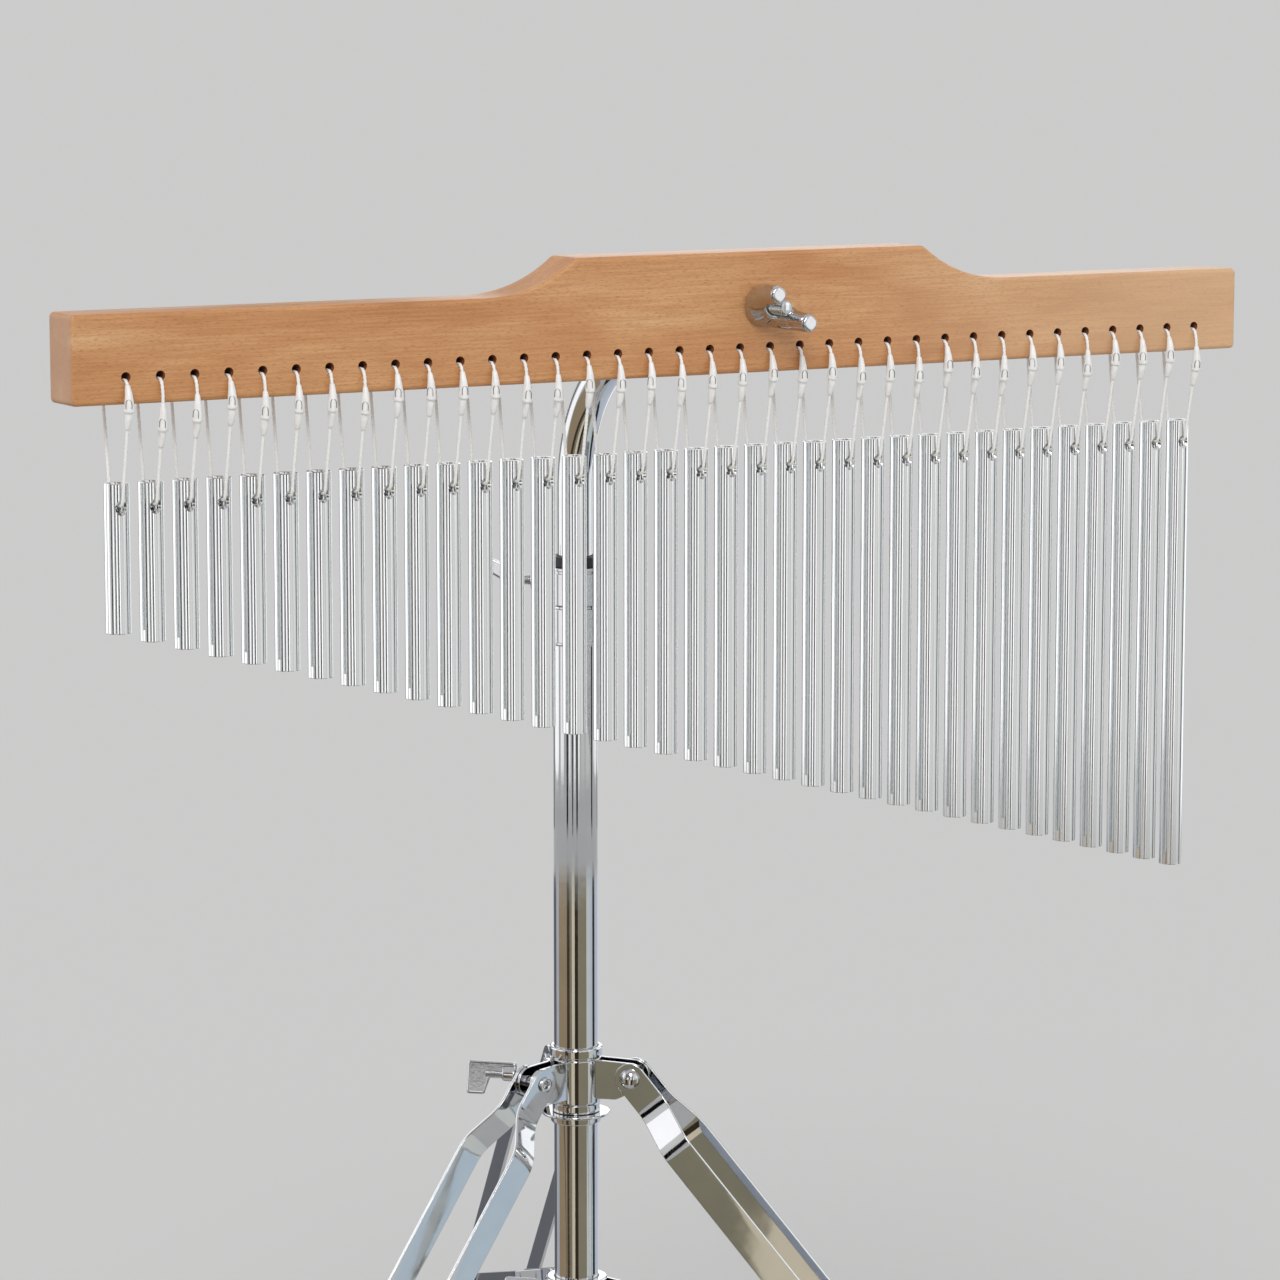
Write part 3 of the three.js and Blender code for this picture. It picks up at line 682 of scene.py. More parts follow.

# The drilled walls: painted dark brown, a painted shade for the depth of the holes, dull, with rings left
# by the drill.
hole_wall_painted_shade, tree = start_material("hole_wall_painted_shade")
place = add_node(tree, "TexCoord", {}, {}).outputs["Object"]
drill_rings = 0.8 * mm
rings = add_node(tree, "TexNoise", {}, {"Vector": place, "Scale": 1 / drill_rings, "Detail": 2.0})
tone = add_node(tree, "ValToRGB", {}, {"Fac": rings.outputs["Fac"]},
                stops=[(0.35, "#6E3A1C"), (0.7, "#A0653C")])
shade = add_node(tree, "BsdfPrincipled", {}, {"Base Color": tone.outputs["Color"], "Roughness": 0.85})
add_node(tree, "OutputMaterial", {}, {"Surface": shade.outputs["BSDF"]})

hump_rise = hump_height - bar_height
ramp_radius = (ramp_length ** 2 + hump_rise ** 2) / (2 * hump_rise)
ramp_sweep = math.asin(ramp_length / ramp_radius)
hump_end = hump_from_left + hump_length


def ramp(foot_x, side, steps=14):
    """The hollow run up to the hump, from its foot to just short of the hump's corner."""
    turns = [ramp_sweep * k / steps for k in range(steps)]
    return [(foot_x + side * ramp_radius * math.sin(a), bar_height + ramp_radius * (1 - math.cos(a)), 0)
            for a in turns]


bar_outline = [(0, 0, bar_corner), (bar_length, 0, bar_corner), (bar_length, bar_height, bar_corner)]
bar_outline += ramp(hump_end + ramp_length, -1) + [(hump_end, hump_height, hump_corner)]
bar_outline += [(hump_from_left, hump_height, hump_corner)] + ramp(hump_from_left - ramp_length, 1)[::-1]
bar_outline.append((0, bar_height, bar_corner))
bar_middle = (bar_low.y + bar_high.y) / 2
bar_frame = frame_at((bar_low.x, bar_middle, bar_low.z), (0, -1, 0))
bar_board = plate("bar_board", [eased(bar_outline, 6)], bar_thickness, bar_edge, bar_frame)
drilled = [(place_of(chime + "_swing"), cord_hole / 2) for chime in chimes]
drilled.append((place_of("bar_tilt"), stud_hole / 2))
drills = []
for spot, radius in drilled:
    outline = tube_outline(0, radius, -bar_thickness, bar_thickness)
    drills.append(turned("drill", outline, frame_at((spot.x, bar_middle, spot.z), (0, -1, 0)), 32))
combined(bar_board, [joined(drills)], "DIFFERENCE")
dress(crisp(bar_board), lacquered_beech, "beech", "bar", "chime_bar")
bar_board.data.materials.append(hole_wall_painted_shade)
# The hole walls take the second material, the painted shade.
for face in bar_board.data.polygons:
    for spot, radius in drilled:
        away = math.hypot(face.center.x - spot.x, face.center.z - spot.z)
        if away < (radius + wall_margin) * mm and abs(face.normal.y) < 0.5:
            face.material_index = 1


# Chimes: half-inch aluminium tube, cut to length, with a cross hole for the cord near the top that is
# countersunk on both sides. The tube is drawn, so that fine lines run down it, and then polished.
tube_radius = 12.7 / 2
tube_wall = 1.4
tube_top = 53.5
cross_hole = 3.6
countersink = 6.8
hole_down = 12
rim_ease = 0.35
sunk_by_wall = 0.45

# Drawn and polished aluminium: bright and a little milky, with fine lines along the tube. The lines are
# drawn 0.4 mm apart, coarser than the real ones, so that they show.
polished_aluminium, tree = start_material("drawn_polished_aluminium")
place = add_node(tree, "TexCoord", {}, {}).outputs["Object"]
draw = add_node(tree, "Mapping", {}, {"Vector": place, "Scale": repeats(0.4, 0.4, 90)})
lines = add_node(tree, "TexNoise", {}, {"Vector": draw.outputs["Vector"], "Scale": 1.0, "Detail": 2.0})
cloud = 14 * mm
cloudy = add_node(tree, "TexNoise", {}, {"Vector": place, "Scale": 1 / cloud, "Detail": 2.0})
tone = add_node(tree, "ValToRGB", {}, {"Fac": lines.outputs["Fac"]},
                stops=[(0.3, "#DCDEDF"), (0.7, "#EEEFF0")])
dull = add_node(tree, "MapRange", {}, {"Value": cloudy.outputs["Fac"], "To Min": 0.08, "To Max": 0.16})
ridges = add_node(tree, "Bump", {}, {
    "Height": lines.outputs["Fac"], "Strength": 0.06, "Distance": 0.02 * mm})
shade = add_node(tree, "BsdfPrincipled", {}, {
    "Base Color": tone.outputs["Color"], "Metallic": 1.0, "Roughness": dull.outputs["Result"],
    "Normal": ridges.outputs["Normal"]})
add_node(tree, "OutputMaterial", {}, {"Surface": shade.outputs["BSDF"]})

# One pattern tube is drilled. Each chime is a copy of it, with the lower end moved up to its own length.
pattern_length = 300
pattern_sharp = math.radians(32)
level = frame_at((0, 0, 0), (0, 0, 1))
inner = tube_radius - tube_wall
pattern_outline = tube_outline(
    inner, tube_radius, -tube_top - pattern_length, -tube_top, rim_ease, rim_ease)
pattern_tube = turned("pattern_tube", pattern_outline, level)
sink_depth = (countersink - cross_hole) / 2
sink_start = tube_radius - sunk_by_wall - sink_depth
drill_end = 9
drill_end_radius = countersink / 2 + drill_end - sink_start - sink_depth
drill_outline = [(0, -drill_end, 0), (drill_end_radius, -drill_end, 0), (cross_hole / 2, -sink_start, 0),
                 (cross_hole / 2, sink_start, 0), (drill_end_radius, drill_end, 0), (0, drill_end, 0)]
drill_frame = frame_at((0, 0, -(tube_top + hole_down) * mm), (0, -1, 0))
cross_drill = turned("drill", drill_outline, drill_frame, 48)
combined(pattern_tube, [cross_drill], "DIFFERENCE")
pattern = pattern_tube.data
pattern.set_sharp_from_angle(angle=pattern_sharp)

# The outer wall is shaded as a true round, so that no facets show in its reflections.
wall_points = [math.hypot(v.co.x, v.co.y) > (tube_radius - 0.01) * mm for v in pattern.vertices]
shading = []
for face in pattern.polygons:
    on_wall = all(wall_points[i] for i in face.vertices)
    for corner, i in zip(face.loop_indices, face.vertices):
        point = pattern.vertices[i].co
        outward = Vector((point.x, point.y, 0)).normalized()
        shading.append(outward if on_wall else Vector(pattern.corner_normals[corner].vector))
middle_height = -(tube_top + pattern_length / 2) * mm
for chime in chimes:
    low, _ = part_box(chime)
    hole = place_of(chime + "_swing")
    tube = bpy.data.objects.new(chime + "_tube", pattern.copy())
    scene.collection.objects.link(tube)
    shorten = low[2] - hole.z + (tube_top + pattern_length) * mm
    for vertex in tube.data.vertices:
        if vertex.co.z < middle_height:
            vertex.co.z += shorten
        vertex.co += hole
    tube.data.normals_split_custom_set([tuple(normal) for normal in shading])
    dress(tube, polished_aluminium, "aluminium", chime, chime)
bpy.data.objects.remove(pattern_tube)


# Stud: a steel screw through the bar, with a round flange welded to its back end. The flange presses on a
# black rubber washer behind the bar, and the wing nut holds the bar from the front. All but the washer
# is chrome plated.
up = Vector((0, 0, 1))
stud_frame = frame_at(joint("bar_tilt")["pos_m"], (0, -1, 0))
stud_diameter = 8
stud_end = 39
bar_front = bar_thickness / 2
seat = 0.3
washer_thickness = 2
washer_radius = 13
washer_hole = 4.3
flange_front = -bar_front - 2 * seat - washer_thickness
flange_back = flange_front - 4
flange_radius = 15
weld_foot = flange_back + 0.5
weld_end = flange_back - 2.6
weld_inner = 9
weld_foot_radius = 12.8
weld_end_radius = 10.2
stud_pitch = 1.25


def threaded(name, diameter, low, high, pitch, place, around=36, rows_per_turn=8):
    """A screw along Z with a rounded thread and domed ends."""
    rows = round((high - low) / pitch * rows_per_turn)
    end_dome = 0.09 * diameter
    bm = bmesh.new()
    rings = []
    for row in range(rows + 1):
        z = low + (high - low) * row / rows
        to_end = min(z - low, high - z)
        cap = math.sqrt(max(0, 1 - max(0, 1 - to_end / end_dome) ** 2)) * 0.3 + 0.7
        ring = []
        for k in range(around):
            angle = 2 * math.pi * k / around
            ridge = math.cos(2 * math.pi * z / pitch - angle)
            radius = (diameter / 2 - 0.27 * pitch * (1 - ridge) * min(1, to_end / end_dome)) * cap
            ring.append(bm.verts.new((radius * math.cos(angle), radius * math.sin(angle), z)))
        rings.append(ring)
    skin(bm, rings)
    return shaped(name, bm, place)


# Bright chrome over polished steel: a mirror, with the faint waves of the buffed metal under it and
# a few dull smudges from handling.
bright_chrome, tree = start_material("bright_chrome_plate")
place = add_node(tree, "TexCoord", {}, {}).outputs["Object"]
thumb = 22 * mm
smudge = add_node(tree, "TexNoise", {}, {
    "Vector": place, "Scale": 1 / thumb, "Detail": 4.0, "Roughness": 0.6}).outputs["Fac"]
dull = add_node(tree, "MapRange", {}, {
    "Value": smudge, "From Min": 0.35, "From Max": 0.75, "To Min": 0.03, "To Max": 0.10})
wave = 9 * mm
waves = add_node(tree, "TexNoise", {}, {"Vector": place, "Scale": 1 / wave, "Detail": 1.0})
buffed = add_node(tree, "Bump", {}, {
    "Height": waves.outputs["Fac"], "Strength": 0.10, "Distance": 0.15 * mm})
tone = add_node(tree, "ValToRGB", {}, {"Fac": smudge}, stops=[(0.3, "#C2C3C6"), (0.7, "#CACBCC")])
shade = add_node(tree, "BsdfPrincipled", {}, {
    "Base Color": tone.outputs["Color"], "Metallic": 1.0, "Roughness": dull.outputs["Result"],
    "Normal": buffed.outputs["Normal"]})
add_node(tree, "OutputMaterial", {}, {"Surface": shade.outputs["BSDF"]})

# Chrome over a zinc casting: the same plate on a softer, wavier surface with small pits.
cast_chrome, tree = start_material("chromed_zinc_casting")
place = add_node(tree, "TexCoord", {}, {}).outputs["Object"]
pit = 2.2 * mm
pits = add_node(tree, "TexNoise", {}, {"Vector": place, "Scale": 1 / pit, "Detail": 3.0}).outputs["Fac"]
dull = add_node(tree, "MapRange", {}, {"Value": pits, "To Min": 0.06, "To Max": 0.20})
dimples = add_node(tree, "Bump", {}, {"Height": pits, "Strength": 0.18, "Distance": 0.12 * mm})
tone = add_node(tree, "ValToRGB", {}, {"Fac": pits}, stops=[(0.3, "#BDBEC1"), (0.7, "#CACACC")])
shade = add_node(tree, "BsdfPrincipled", {}, {
    "Base Color": tone.outputs["Color"], "Metallic": 1.0, "Roughness": dull.outputs["Result"],
    "Normal": dimples.outputs["Normal"]})
add_node(tree, "OutputMaterial", {}, {"Surface": shade.outputs["BSDF"]})

# Moulded black rubber: dark grey, matt, with the fine grain of the mould.
black_rubber, tree = start_material("moulded_black_rubber")
place = add_node(tree, "TexCoord", {}, {}).outputs["Object"]
grit = 0.7 * mm
mould = add_node(tree, "TexNoise", {}, {"Vector": place, "Scale": 1 / grit, "Detail": 3.0}).outputs["Fac"]
tone = add_node(tree, "ValToRGB", {}, {"Fac": mould}, stops=[(0.3, "#191919"), (0.7, "#262626")])
grain = add_node(tree, "Bump", {}, {"Height": mould, "Strength": 0.4, "Distance": 0.1 * mm})
shade = add_node(tree, "BsdfPrincipled", {}, {
    "Base Color": tone.outputs["Color"], "Roughness": 0.75, "Normal": grain.outputs["Normal"]})
add_node(tree, "OutputMaterial", {}, {"Surface": shade.outputs["BSDF"]})


def plated(piece, body, *nodes):
    return dress(piece, bright_chrome, "chrome", body, *nodes)


screw = threaded("bar_stud_screw", stud_diameter, flange_front - 2, stud_end, stud_pitch, stud_frame)
plated(screw, "gooseneck", "mount_stud")
flange_outline = tube_outline(0, flange_radius, flange_back, flange_front, 0.8)
flange = turned("bar_stud_flange", flange_outline, stud_frame)
plated(flange, "gooseneck")
weld = turned("bar_stud_weld", [
    (weld_inner, weld_foot, 0), (weld_foot_radius, weld_foot, 0.6),
    (weld_end_radius, weld_end, 0.9), (weld_inner, weld_end, 0)], stud_frame)
dress(weld, cast_chrome, "chrome", "gooseneck")
washer_front = -bar_front - seat
washer_back = washer_front - washer_thickness
washer_outline = tube_outline(washer_hole, washer_radius, washer_back, washer_front, 0.6, 0.3)
washer = turned("bar_rubber_washer", washer_outline, stud_frame)
dress(washer, black_rubber, "rubber", "gooseneck", "stud_washer")


# Wing nut: a chromed zinc casting, a bell-shaped base with two stout prongs that splay forward from it and
# taper to blunt ends. It screws on the stud and presses straight on the wood.
nut_low = bar_front + seat
nut_top = nut_low + 13
prong_end = nut_low + 33
nut_turn = math.radians(-39)
nut_bore = 4.3
nut_base_radius = 11.2


def cast(name, pieces, grain_size, flow=5):
    """Pieces run together into one casting, with small fillets in the corners between them."""
    whole = combined(pieces[0], pieces[1:])
    melt = whole.modifiers.new("melt", "REMESH")
    melt.mode = "VOXEL"
    melt.voxel_size = grain_size * mm
    fillet = whole.modifiers.new("flow", "SMOOTH")
    fillet.iterations = flow
    settle(whole)
    whole.name = name
    whole.data.shade_smooth()
    return whole


nut_base = turned("nut_base", [
    (nut_bore, nut_low, 0), (nut_base_radius, nut_low, 0.9), (nut_base_radius, nut_low + 2.6, 1.6),
    (7.0, nut_top - 2.5, 3), (6.5, nut_top, 0.9), (nut_bore, nut_top, 0.3)], stud_frame)
# Each prong's rows: distance from the axis, height, and half of its width and of its thickness.
prong_rows = [
    (5.6, nut_low + 0.5, 5.4, 7.4), (7.2, nut_low + 6, 5.6, 7.2), (9.0, nut_top, 5.4, 6.3),
    (11.2, nut_low + 20, 4.9, 5.1), (12.3, prong_end - 1.3, 4.5, 4.3), (12.3, prong_end, 3.7, 3.5),
]
prong_squareness = 2.8


def prong(turn):
    bm = bmesh.new()
    rings = []
    for away, height, half_width, half_thickness in prong_rows:
        ring = rounded_box(half_width, half_thickness, prong_squareness)
        rings.append([bm.verts.new((away + u, v, height)) for u, v in ring])
    skin(bm, rings)
    return shaped("prong", bm, stud_frame @ Matrix.Rotation(turn, 4, "Z"))


prongs = [prong(nut_turn), prong(nut_turn + math.pi)]
wing_nut = cast("bar_wing_nut_casting", [nut_base] + prongs, 0.35)
dress(wing_nut, cast_chrome, "chrome", "bar_wing_nut", "bar_wing_nut")


# Upper tube: 20 mm chromed steel tube, straight where it slides in the pole, then bent forward through
# 72 degrees. Its cut end is welded to the stud's flange.
upper_low = Vector(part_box("gooseneck_tube")[0])
upper_radius = 10 * mm
bend_radius = 85 * mm
bend = math.radians(72)
straight_steps = 4
bend_steps = 48


def sawn(piece, point, away):
    """The piece cut off flat at a plane, on the side that away points to, and closed there."""
    bm = bmesh.new()
    bm.from_mesh(piece.data)
    geometry = bm.verts[:] + bm.edges[:] + bm.faces[:]
    cut = bmesh.ops.bisect_plane(bm, geom=geometry, plane_co=point, plane_no=away, clear_outer=True)
    rim = [edge for edge in cut["geom_cut"] if isinstance(edge, bmesh.types.BMEdge)]
    bmesh.ops.holes_fill(bm, edges=rim)
    bm.to_mesh(piece.data)
    bm.free()
    return crisp(piece)


hidden_run = (pole_axis.y - bend_radius * (1 - math.cos(bend)) - upper_low.y) / math.sin(bend)
bend_top = joint("bar_tilt")["pos_m"][2] - hidden_run * math.cos(bend)
bend_start = bend_top - bend_radius * math.sin(bend)
straight = bend_start - upper_low.z
centre_line = [Vector((pole_axis.x, pole_axis.y, upper_low.z + straight * k / straight_steps))
               for k in range(straight_steps)]
for k in range(bend_steps + 1):
    turn = bend * k / bend_steps
    centre_line.append(Vector((pole_axis.x, pole_axis.y - bend_radius * (1 - math.cos(turn)),
                               bend_start + bend_radius * math.sin(turn))))
end_direction = Vector((0, -math.sin(bend), math.cos(bend)))
centre_line.append(centre_line[-1] + end_direction * (hidden_run + 2 * upper_radius))
before = centre_line[:1] + centre_line[:-1]
after = centre_line[1:] + centre_line[-1:]
rows = [(point, (b - a).normalized(), 0) for a, point, b in zip(before, centre_line, after)]
upper_ring = [(p.x, p.y) for p in circle(upper_radius, sides=72)]
upper_tube = swept("upper_tube", rows, lambda distance: upper_ring)
sawn(upper_tube, (0, upper_low.y, 0), (0, -1, 0))
plated(upper_tube, "gooseneck", "gooseneck_tube")


# Height clamp: a nylon bushing in the mouth of the pole guides the upper tube, a chromed casting round
# it carries the clamp bolt, and a pressed sleeve below ties the casting to the pole.
pole_frame = frame_at((pole_axis.x, pole_axis.y, 0), up)
clamp_radius = 14.2
clamp_bore = 11.5
groove_radius = 13.4
bushing_bore = 10.3
bushing_radius = 11.2
bushing_head_radius = 13.9
bushing_head = 6
sleeve_bore = 13
sleeve_foot_radius = 15
boss_start = 12.9
boss_bore = 3.4
boss_bore_depth = 4
bolt_axis = Vector(joint("clamp_bolt_turn")["axis"])


def heights(node):
    low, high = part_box(node)
    return low[2] / mm, high[2] / mm


def boss(diameter, reach, height):
    """A round boss that stands out from a casting round the pole, towards the bolts."""
    place = frame_at((pole_axis.x, pole_axis.y, height * mm), bolt_axis)
    bore_end = reach - boss_bore_depth
    return turned("boss", [
        (0, boss_start, 0), (diameter / 2, boss_start, 0), (diameter / 2, reach, 0.9),
        (boss_bore, reach, 0.3), (boss_bore, bore_end, 0), (0, bore_end, 0)], place, 48)


def casting(name, body, others):
    """A turned body and all that is cast on to it, as one piece."""
    combined(body, others)
    body.name = name
    return crisp(body)


# Moulded black nylon: dark, smooth, with a low sheen.
black_nylon, tree = start_material("moulded_black_nylon")
place = add_node(tree, "TexCoord", {}, {}).outputs["Object"]
grit = 1.2 * mm
mould = add_node(tree, "TexNoise", {}, {"Vector": place, "Scale": 1 / grit, "Detail": 2.0}).outputs["Fac"]
tone = add_node(tree, "ValToRGB", {}, {"Fac": mould}, stops=[(0.3, "#171719"), (0.7, "#222225")])
grain = add_node(tree, "Bump", {}, {"Height": mould, "Strength": 0.15, "Distance": 0.1 * mm})
shade = add_node(tree, "BsdfPrincipled", {}, {
    "Base Color": tone.outputs["Color"], "Roughness": 0.45, "Normal": grain.outputs["Normal"]})
add_node(tree, "OutputMaterial", {}, {"Surface": shade.outputs["BSDF"]})

low, top = heights("tube_bushing")
bushing = turned("nylon_bushing", [
    (bushing_bore, low, 0.3), (bushing_radius, low, 0.4), (bushing_radius, top - bushing_head, 0),
    (bushing_head_radius, top - bushing_head, 0.5), (bushing_head_radius, top, 1.2),
    (bushing_bore, top, 0.8)], pole_frame)
dress(bushing, black_nylon, "nylon", "pole", "tube_bushing")

low, top = heights("height_clamp")
clamp_body = turned("clamp_body", [
    (clamp_bore, low, 0.4), (clamp_radius, low, 0.8), (clamp_radius, top - 3.4, 0.4),
    (groove_radius, top - 3.4, 0.2), (groove_radius, top - 2, 0.2), (clamp_radius, top - 2, 0.4),
    (clamp_radius, top, 0.8), (clamp_bore, top, 0.4)], pole_frame)
clamp_boss = boss(diameter=13, reach=25, height=joint("clamp_bolt_turn")["pos_m"][2] / mm)
clamp = casting("clamp_casting", clamp_body, [clamp_boss])
plated(clamp, "pole", "height_clamp")

low, top = heights("pole_sleeve")
sleeve = turned("pole_top_sleeve", [
    (sleeve_bore, low, 0.3), (sleeve_foot_radius, low, 0.7), (sleeve_foot_radius, low + 2, 0.7),
    (clamp_radius, low + 2, 0.2), (clamp_radius, top, 0.8), (sleeve_bore, top, 0.3)], pole_frame)
plated(sleeve, "pole", "pole_sleeve")


# Pole: one inch steel tube, chromed and cut square at both ends. It stands in the hub, carries the height
# clamp on its upper end and takes the upper tube inside it.
pole_radius = 12.7
pole_bore = 11.5
low, top = heights("pole")
pole_tube = turned("pole_tube", tube_outline(pole_bore, pole_radius, low, top, 0.4, 0.4), pole_frame)
plated(pole_tube, "pole", "pole")


# Hub: the tripod's upper casting, in which the pole turns. A ring stands on top, a neck hangs below, and
# a pair of sheet lugs holds each leg. A flat ring with a short collar trims its lower end.
pivot_height = joint("right_leg_fold")["pos_m"][2] / mm
sides = ("right", "back", "left")
slide_radius = 13
lug_root = 12.8
lug_apart = 5
lug_thickness = 2
lug_edge = 0.35


def lug_sheets(hinge, reach, radius, drop, rise, hole, height):
    """A pair of sheet lugs towards one leg, rounded about the hinge."""
    across = Vector(hinge["axis"])
    out = across.cross(up)
    outline = [(lug_root, rise, 0), (reach, radius, 0)]
    outline += [(reach + radius * math.cos(a), radius * math.sin(a), 0)
                for a in (math.radians(90 - 135 * k / 14) for k in range(1, 15))]
    outline += [(reach - radius, -drop, 2), (lug_root, -drop, 0)]
    outlines = [eased(outline), circle(hole, reach)]
    sheets = []
    for aside in (-lug_apart, lug_apart):
        middle = Vector((pole_axis.x, pole_axis.y, height * mm)) + across * aside * mm
        sheets.append(plate("lug", outlines, lug_thickness, lug_edge, frame_at(middle, -across, out)))
    return sheets


# The hub's profile: radius, height from the leg pivots and ease.
hub_outline = [
    (slide_radius, -22, 0.3), (13.8, -22, 0.4), (13.8, -17.2, 1.1), (14.5, -16, 0.7), (14.5, 9.5, 0.6),
    (13.7, 9.5, 0.2), (13.7, 11.1, 0.2), (15.4, 11.1, 0.5), (15.4, 16.6, 1.1), (slide_radius, 16.6, 0.4),
]
hub_body = turned("hub_body", hub_outline, pole_frame @ Matrix.Translation((0, 0, pivot_height)))
hub_parts = [boss(diameter=12, reach=22, height=joint("hub_bolt_turn")["pos_m"][2] / mm)]
for side in sides:
    hub_parts += lug_sheets(joint(side + "_leg_fold"), reach=34, radius=8.5, drop=13.4, rise=9.5,
                            hole=3.3, height=pivot_height)
hub = casting("hub_casting", hub_body, hub_parts)
plated(hub, "hub", "leg_hub")

low, top = heights("hub_ring")
flat_radius = 19.7
flat_low = top - 1.6
ring = turned("hub_stop_ring", [
    (slide_radius, low, 0.3), (14.6, low, 1.2), (14.9, flat_low, 0.5), (flat_radius, flat_low, 0.6),
    (flat_radius, top, 0.6), (slide_radius, top, 0.3)], pole_frame)
plated(ring, "hub", "hub_ring")


# Legs: each is a pair of flat chromed straps, riveted together to the hub's lugs and cranked apart below
# them, with the foot's axle at the end. Rivets have a domed head on one side and a rolled or a domed one
# on the other.
leg_lean = math.radians(40)
leg_length = 500
leg_width = 18
brace_down_leg = 230
strap_thickness = 2
strap_edge = 0.45
narrow_gap = 6.3
wide_gap = 20
leg_crank = (23, 46)
bend_reach = 6
bend_cuts = 6
big_head = 6
big_head_height = 4
small_head = 4.5
small_head_height = 1.6
roll_pit = 0.8


def strap(name, aside, narrow, wide, crank, length, width, holes, place):
    """A flat strap with round ends, down Y from its pivot, and cranked along Z between two places."""
    crank_start, crank_end = crank
    crank_run = crank_end - crank_start
    half = width / 2
    turns = [math.pi * k / 24 for k in range(25)]
    outline = [Vector((half * math.cos(a), half * math.sin(a))) for a in turns]
    outline += [Vector((-half * math.cos(a), -half * math.sin(a) - length)) for a in turns]
    cut_out = [circle(radius, 0, -down, 24) for down, radius in holes]
    piece = plate(name, [outline] + cut_out, strap_thickness, strap_edge, None)
    bend_share = bend_reach / crank_run
    bm = bmesh.new()
    bm.from_mesh(piece.data)
    for bend_at in (0, 1):
        for k in range(-bend_cuts, bend_cuts + 1):
            t = bend_at + bend_share * k / bend_cuts
            geometry = bm.verts[:] + bm.edges[:] + bm.faces[:]
            cut_at = (0, -crank_start - t * crank_run, 0)
            bmesh.ops.bisect_plane(bm, geom=geometry, plane_co=cut_at, plane_no=(0, 1, 0))

    def soft_corner(t):
        if t < -bend_share:
            return 0
        return t if t > bend_share else (t + bend_share) ** 2 / (4 * bend_share)

    for vertex in bm.verts:
        t = (-vertex.co.y - crank_start) / crank_run
        spread = (wide - narrow) * (soft_corner(t) - soft_corner(t - 1))
        vertex.co.z += aside * (narrow + strap_thickness / 2 + spread)
    bmesh.ops.transform(bm, matrix=place, verts=bm.verts)
    bmesh.ops.recalc_face_normals(bm, faces=bm.faces)
    bm.to_mesh(piece.data)
    bm.free()
    piece.data.set_sharp_from_angle(angle=sharp_angle)
    return piece


def dome(radius, height, face):
    turns = [math.pi * k / 20 for k in range(11)]
    return [(radius * math.cos(a), face + height * math.sin(a), 0) for a in turns]


def rivet(name, shank, face, near, far, down, place):
    """A rivet through a pair of straps, with its near head towards Z."""
    far_side = [(r, -z, ease) for r, z, ease in far(face)][::-1]
    outline = far_side + [(shank, -face, 0), (shank, face, 0)] + near(face)
    return turned(name, outline, place @ Matrix.Translation((0, -down, 0)), 48)


def big_dome(face):
    return dome(big_head, big_head_height, face)


def small_dome(face):
    return dome(small_head, small_head_height, face)


def small_roll(face):
    """The rolled end of a rivet, with a pit in its middle."""
    top = face + small_head_height
    pit = face - roll_pit
    return [(small_head, face, 0), (small_head, top, small_head_height * 0.7),
            (small_head * 0.5, top, small_head_height * 0.4), (small_head * 0.42, pit, 0.2), (0, pit, 0)]


leg_pin = 3
leg_holes = [(0, leg_pin), (leg_length, leg_pin)]
narrow_face = narrow_gap + strap_thickness
wide_face = wide_gap + strap_thickness
brace_ends = {}
foot_places = {}
for side in sides:
    hinge = joint(side + "_leg_fold")
    across = Vector(hinge["axis"])
    out = across.cross(up)
    down_leg = out * math.sin(leg_lean) - up * math.cos(leg_lean)
    flat_way = out * math.cos(leg_lean) + up * math.sin(leg_lean)
    leg_frame = frame_at(hinge["pos_m"], -across, flat_way)
    brace_ends[side] = Vector(hinge["pos_m"]) + down_leg * brace_down_leg * mm
    foot_places[side] = Vector(hinge["pos_m"]) + down_leg * leg_length * mm
    body = side + "_leg"
    for number, aside in ((1, 1), (2, -1)):
        piece = strap(f"{body}_strap_{number}", aside, narrow_gap, wide_gap, leg_crank, leg_length,
                      leg_width, leg_holes, leg_frame)
        plated(piece, body, *([body] if number == 1 else []))
        plane = leg_frame @ Matrix.Rotation(math.pi * (number - 1), 4, "Y")
        stub_outline = [(0, wide_gap + 1, 0), (small_head, wide_gap + 1, 0)] + small_dome(wide_face)[1:]
        stub = turned(f"{body}_brace_rivet_{number}", stub_outline,
                      plane @ Matrix.Translation((0, -brace_down_leg, 0)), 48)
        plated(stub, body)
    pivot = rivet(body + "_pivot_rivet", leg_pin, narrow_face, big_dome, small_roll, 0, leg_frame)
    plated(pivot, body)
    axle = rivet(body + "_foot_axle", leg_pin, wide_face, small_dome, small_dome, leg_length, leg_frame)
    plated(axle, body)


# Feet: a moulded black rubber roller between the straps of each leg, on the axle at the leg's end. It is
# ground flat where it stands.
foot_radius = 16
foot_half_length = 19.7
foot_bore = 3.3
foot_outline = tube_outline(foot_bore, foot_radius, -foot_half_length, foot_half_length, 2.5)
for side in sides:
    across = joint(side + "_leg_fold")["axis"]
    roller = turned(side + "_rubber_foot", foot_outline, frame_at(foot_places[side], across))
    sawn(roller, (0, 0, 0), (0, 0, -1))
    dress(roller, black_rubber, "rubber", side + "_leg", side + "_foot")


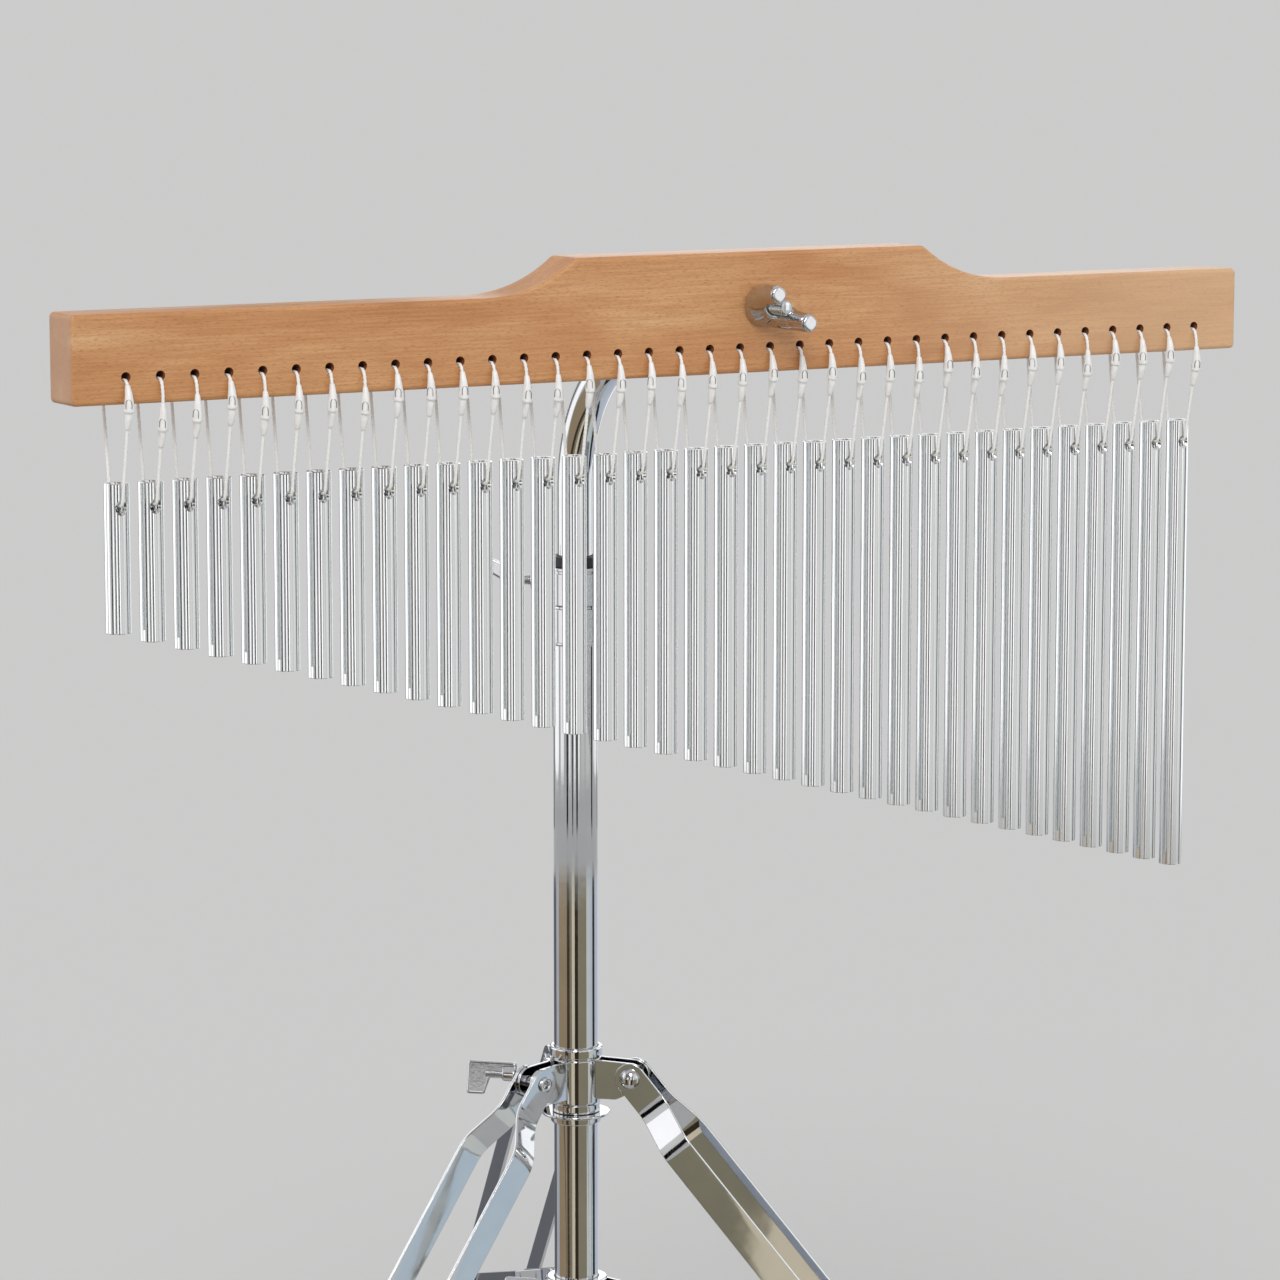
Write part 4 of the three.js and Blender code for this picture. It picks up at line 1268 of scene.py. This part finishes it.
# Braces: a pair of short chromed straps on a spacer for each leg, hinged to a collar that slides on the
# pole. The spacer turns between the leg's straps.
brace_width = 14
brace_wide_gap = 17.7
brace_crank = (18, 36)
brace_pin = 2.5
spacer_half_length = 19.5
spacer_outline = tube_outline(0, brace_pin, -spacer_half_length, spacer_half_length, 0.3)
for side in sides:
    hinge = joint(side + "_brace_fold")
    across = Vector(hinge["axis"])
    reach = brace_ends[side] - Vector(hinge["pos_m"])
    length = reach.length / mm
    brace_frame = frame_at(hinge["pos_m"], -across, -across.cross(reach))
    body = side + "_brace"
    for number, aside in ((1, 1), (2, -1)):
        piece = strap(f"{body}_strap_{number}", aside, narrow_gap, brace_wide_gap, brace_crank, length,
                      brace_width, [(0, brace_pin), (length, brace_pin)], brace_frame)
        plated(piece, body, *([body] if number == 1 else []))
    pivot = rivet(body + "_pivot_rivet", brace_pin, narrow_face, small_dome, small_roll, 0, brace_frame)
    plated(pivot, body)
    spacer_frame = brace_frame @ Matrix.Translation((0, -length, 0))
    spacer = turned(body + "_spacer", spacer_outline, spacer_frame, 48)
    plated(spacer, body)


# Brace collar: a chromed casting that slides on the pole under the hub. A pair of sheet lugs holds each
# brace, and a boss takes the bolt that stops the collar.
collar_height = joint("right_brace_fold")["pos_m"][2] / mm
collar_radius = 18
collar_half_height = 11
collar_outline = tube_outline(
    slide_radius, collar_radius, -collar_half_height, collar_half_height, 1.4, 0.4)
collar_frame = pole_frame @ Matrix.Translation((0, 0, collar_height))
collar_body = turned("collar_body", collar_outline, collar_frame)
collar_parts = [boss(diameter=12, reach=22, height=collar_height)]
for side in sides:
    collar_parts += lug_sheets(joint(side + "_brace_fold"), reach=30, radius=7, drop=7, rise=10.5,
                               hole=2.8, height=collar_height)
collar = casting("collar_casting", collar_body, collar_parts)
plated(collar, "brace_collar", "brace_collar")


# Bolts with a cast lever: one clamps the upper tube, one stops the hub on the pole and one the collar.
# Each is a threaded shaft that screws through its boss against the tube, with a flat chromed lever.
lever_rise = 7
lever_drop = 12.5
lever_foot = 10.5
lever_slope = 4
lever_thickness = 3.6
lever_edge = 1.0
bolt_diameter = 6
bolt_pitch = 1.0
lever_head_radius = 4.2
lever_head_length = 8


def flag(start, end):
    """A lever with an arm along the bolt and a broad foot across its end."""
    return [(start, 0, 1), (end - lever_foot - lever_slope, 0, 3), (end - lever_foot, -lever_drop, 1.5),
            (end, -lever_drop, 1.5), (end, lever_rise, 1.8), (start, lever_rise, 1.8)]


# Each bolt: its joint, where its tip and its shaft end, its lever and the lever's turn.
leaning = [(35, 0, 1), (44, 0, 1), (61.2, 9.4, 0.8), (61.2, 14.2, 1), (58.2, 15.4, 0.8), (35, 6, 1.5)]
bolts = {
    "clamp_wing_bolt": ("clamp_bolt_turn", 11.6, 44, leaning, 0),
    "hub_wing_bolt": ("hub_bolt_turn", 13.1, 54, flag(start=36, end=65), 12),
    "collar_wing_bolt": ("collar_bolt_turn", 13.1, 33, flag(start=24, end=44), 35),
}
for name, (turning, tip, shaft_end, lever, turn) in bolts.items():
    height = joint(turning)["pos_m"][2]
    middle = Vector((pole_axis.x, pole_axis.y, height))
    shaft_frame = frame_at(middle, bolt_axis)
    shaft = threaded(name + "_shaft", bolt_diameter, tip, shaft_end, bolt_pitch, shaft_frame)
    plated(shaft, name, name)
    start = lever[0][0]
    end = start + lever_head_length
    head = turned("lever_head", [
        (0, start, 0), (lever_head_radius, start, 0.8), (lever_head_radius, end, 1.5), (0, end, 0)],
        shaft_frame, 48)
    flat_frame = frame_at(middle, bolt_axis.cross(up), bolt_axis)
    blade_frame = flat_frame @ Matrix.Rotation(math.radians(turn), 4, "X")
    blade = plate("lever_blade", [eased(lever)], lever_thickness, lever_edge, blade_frame)
    dress(cast(name + "_lever", [head, blade], 0.3, 4), cast_chrome, "chrome", name)
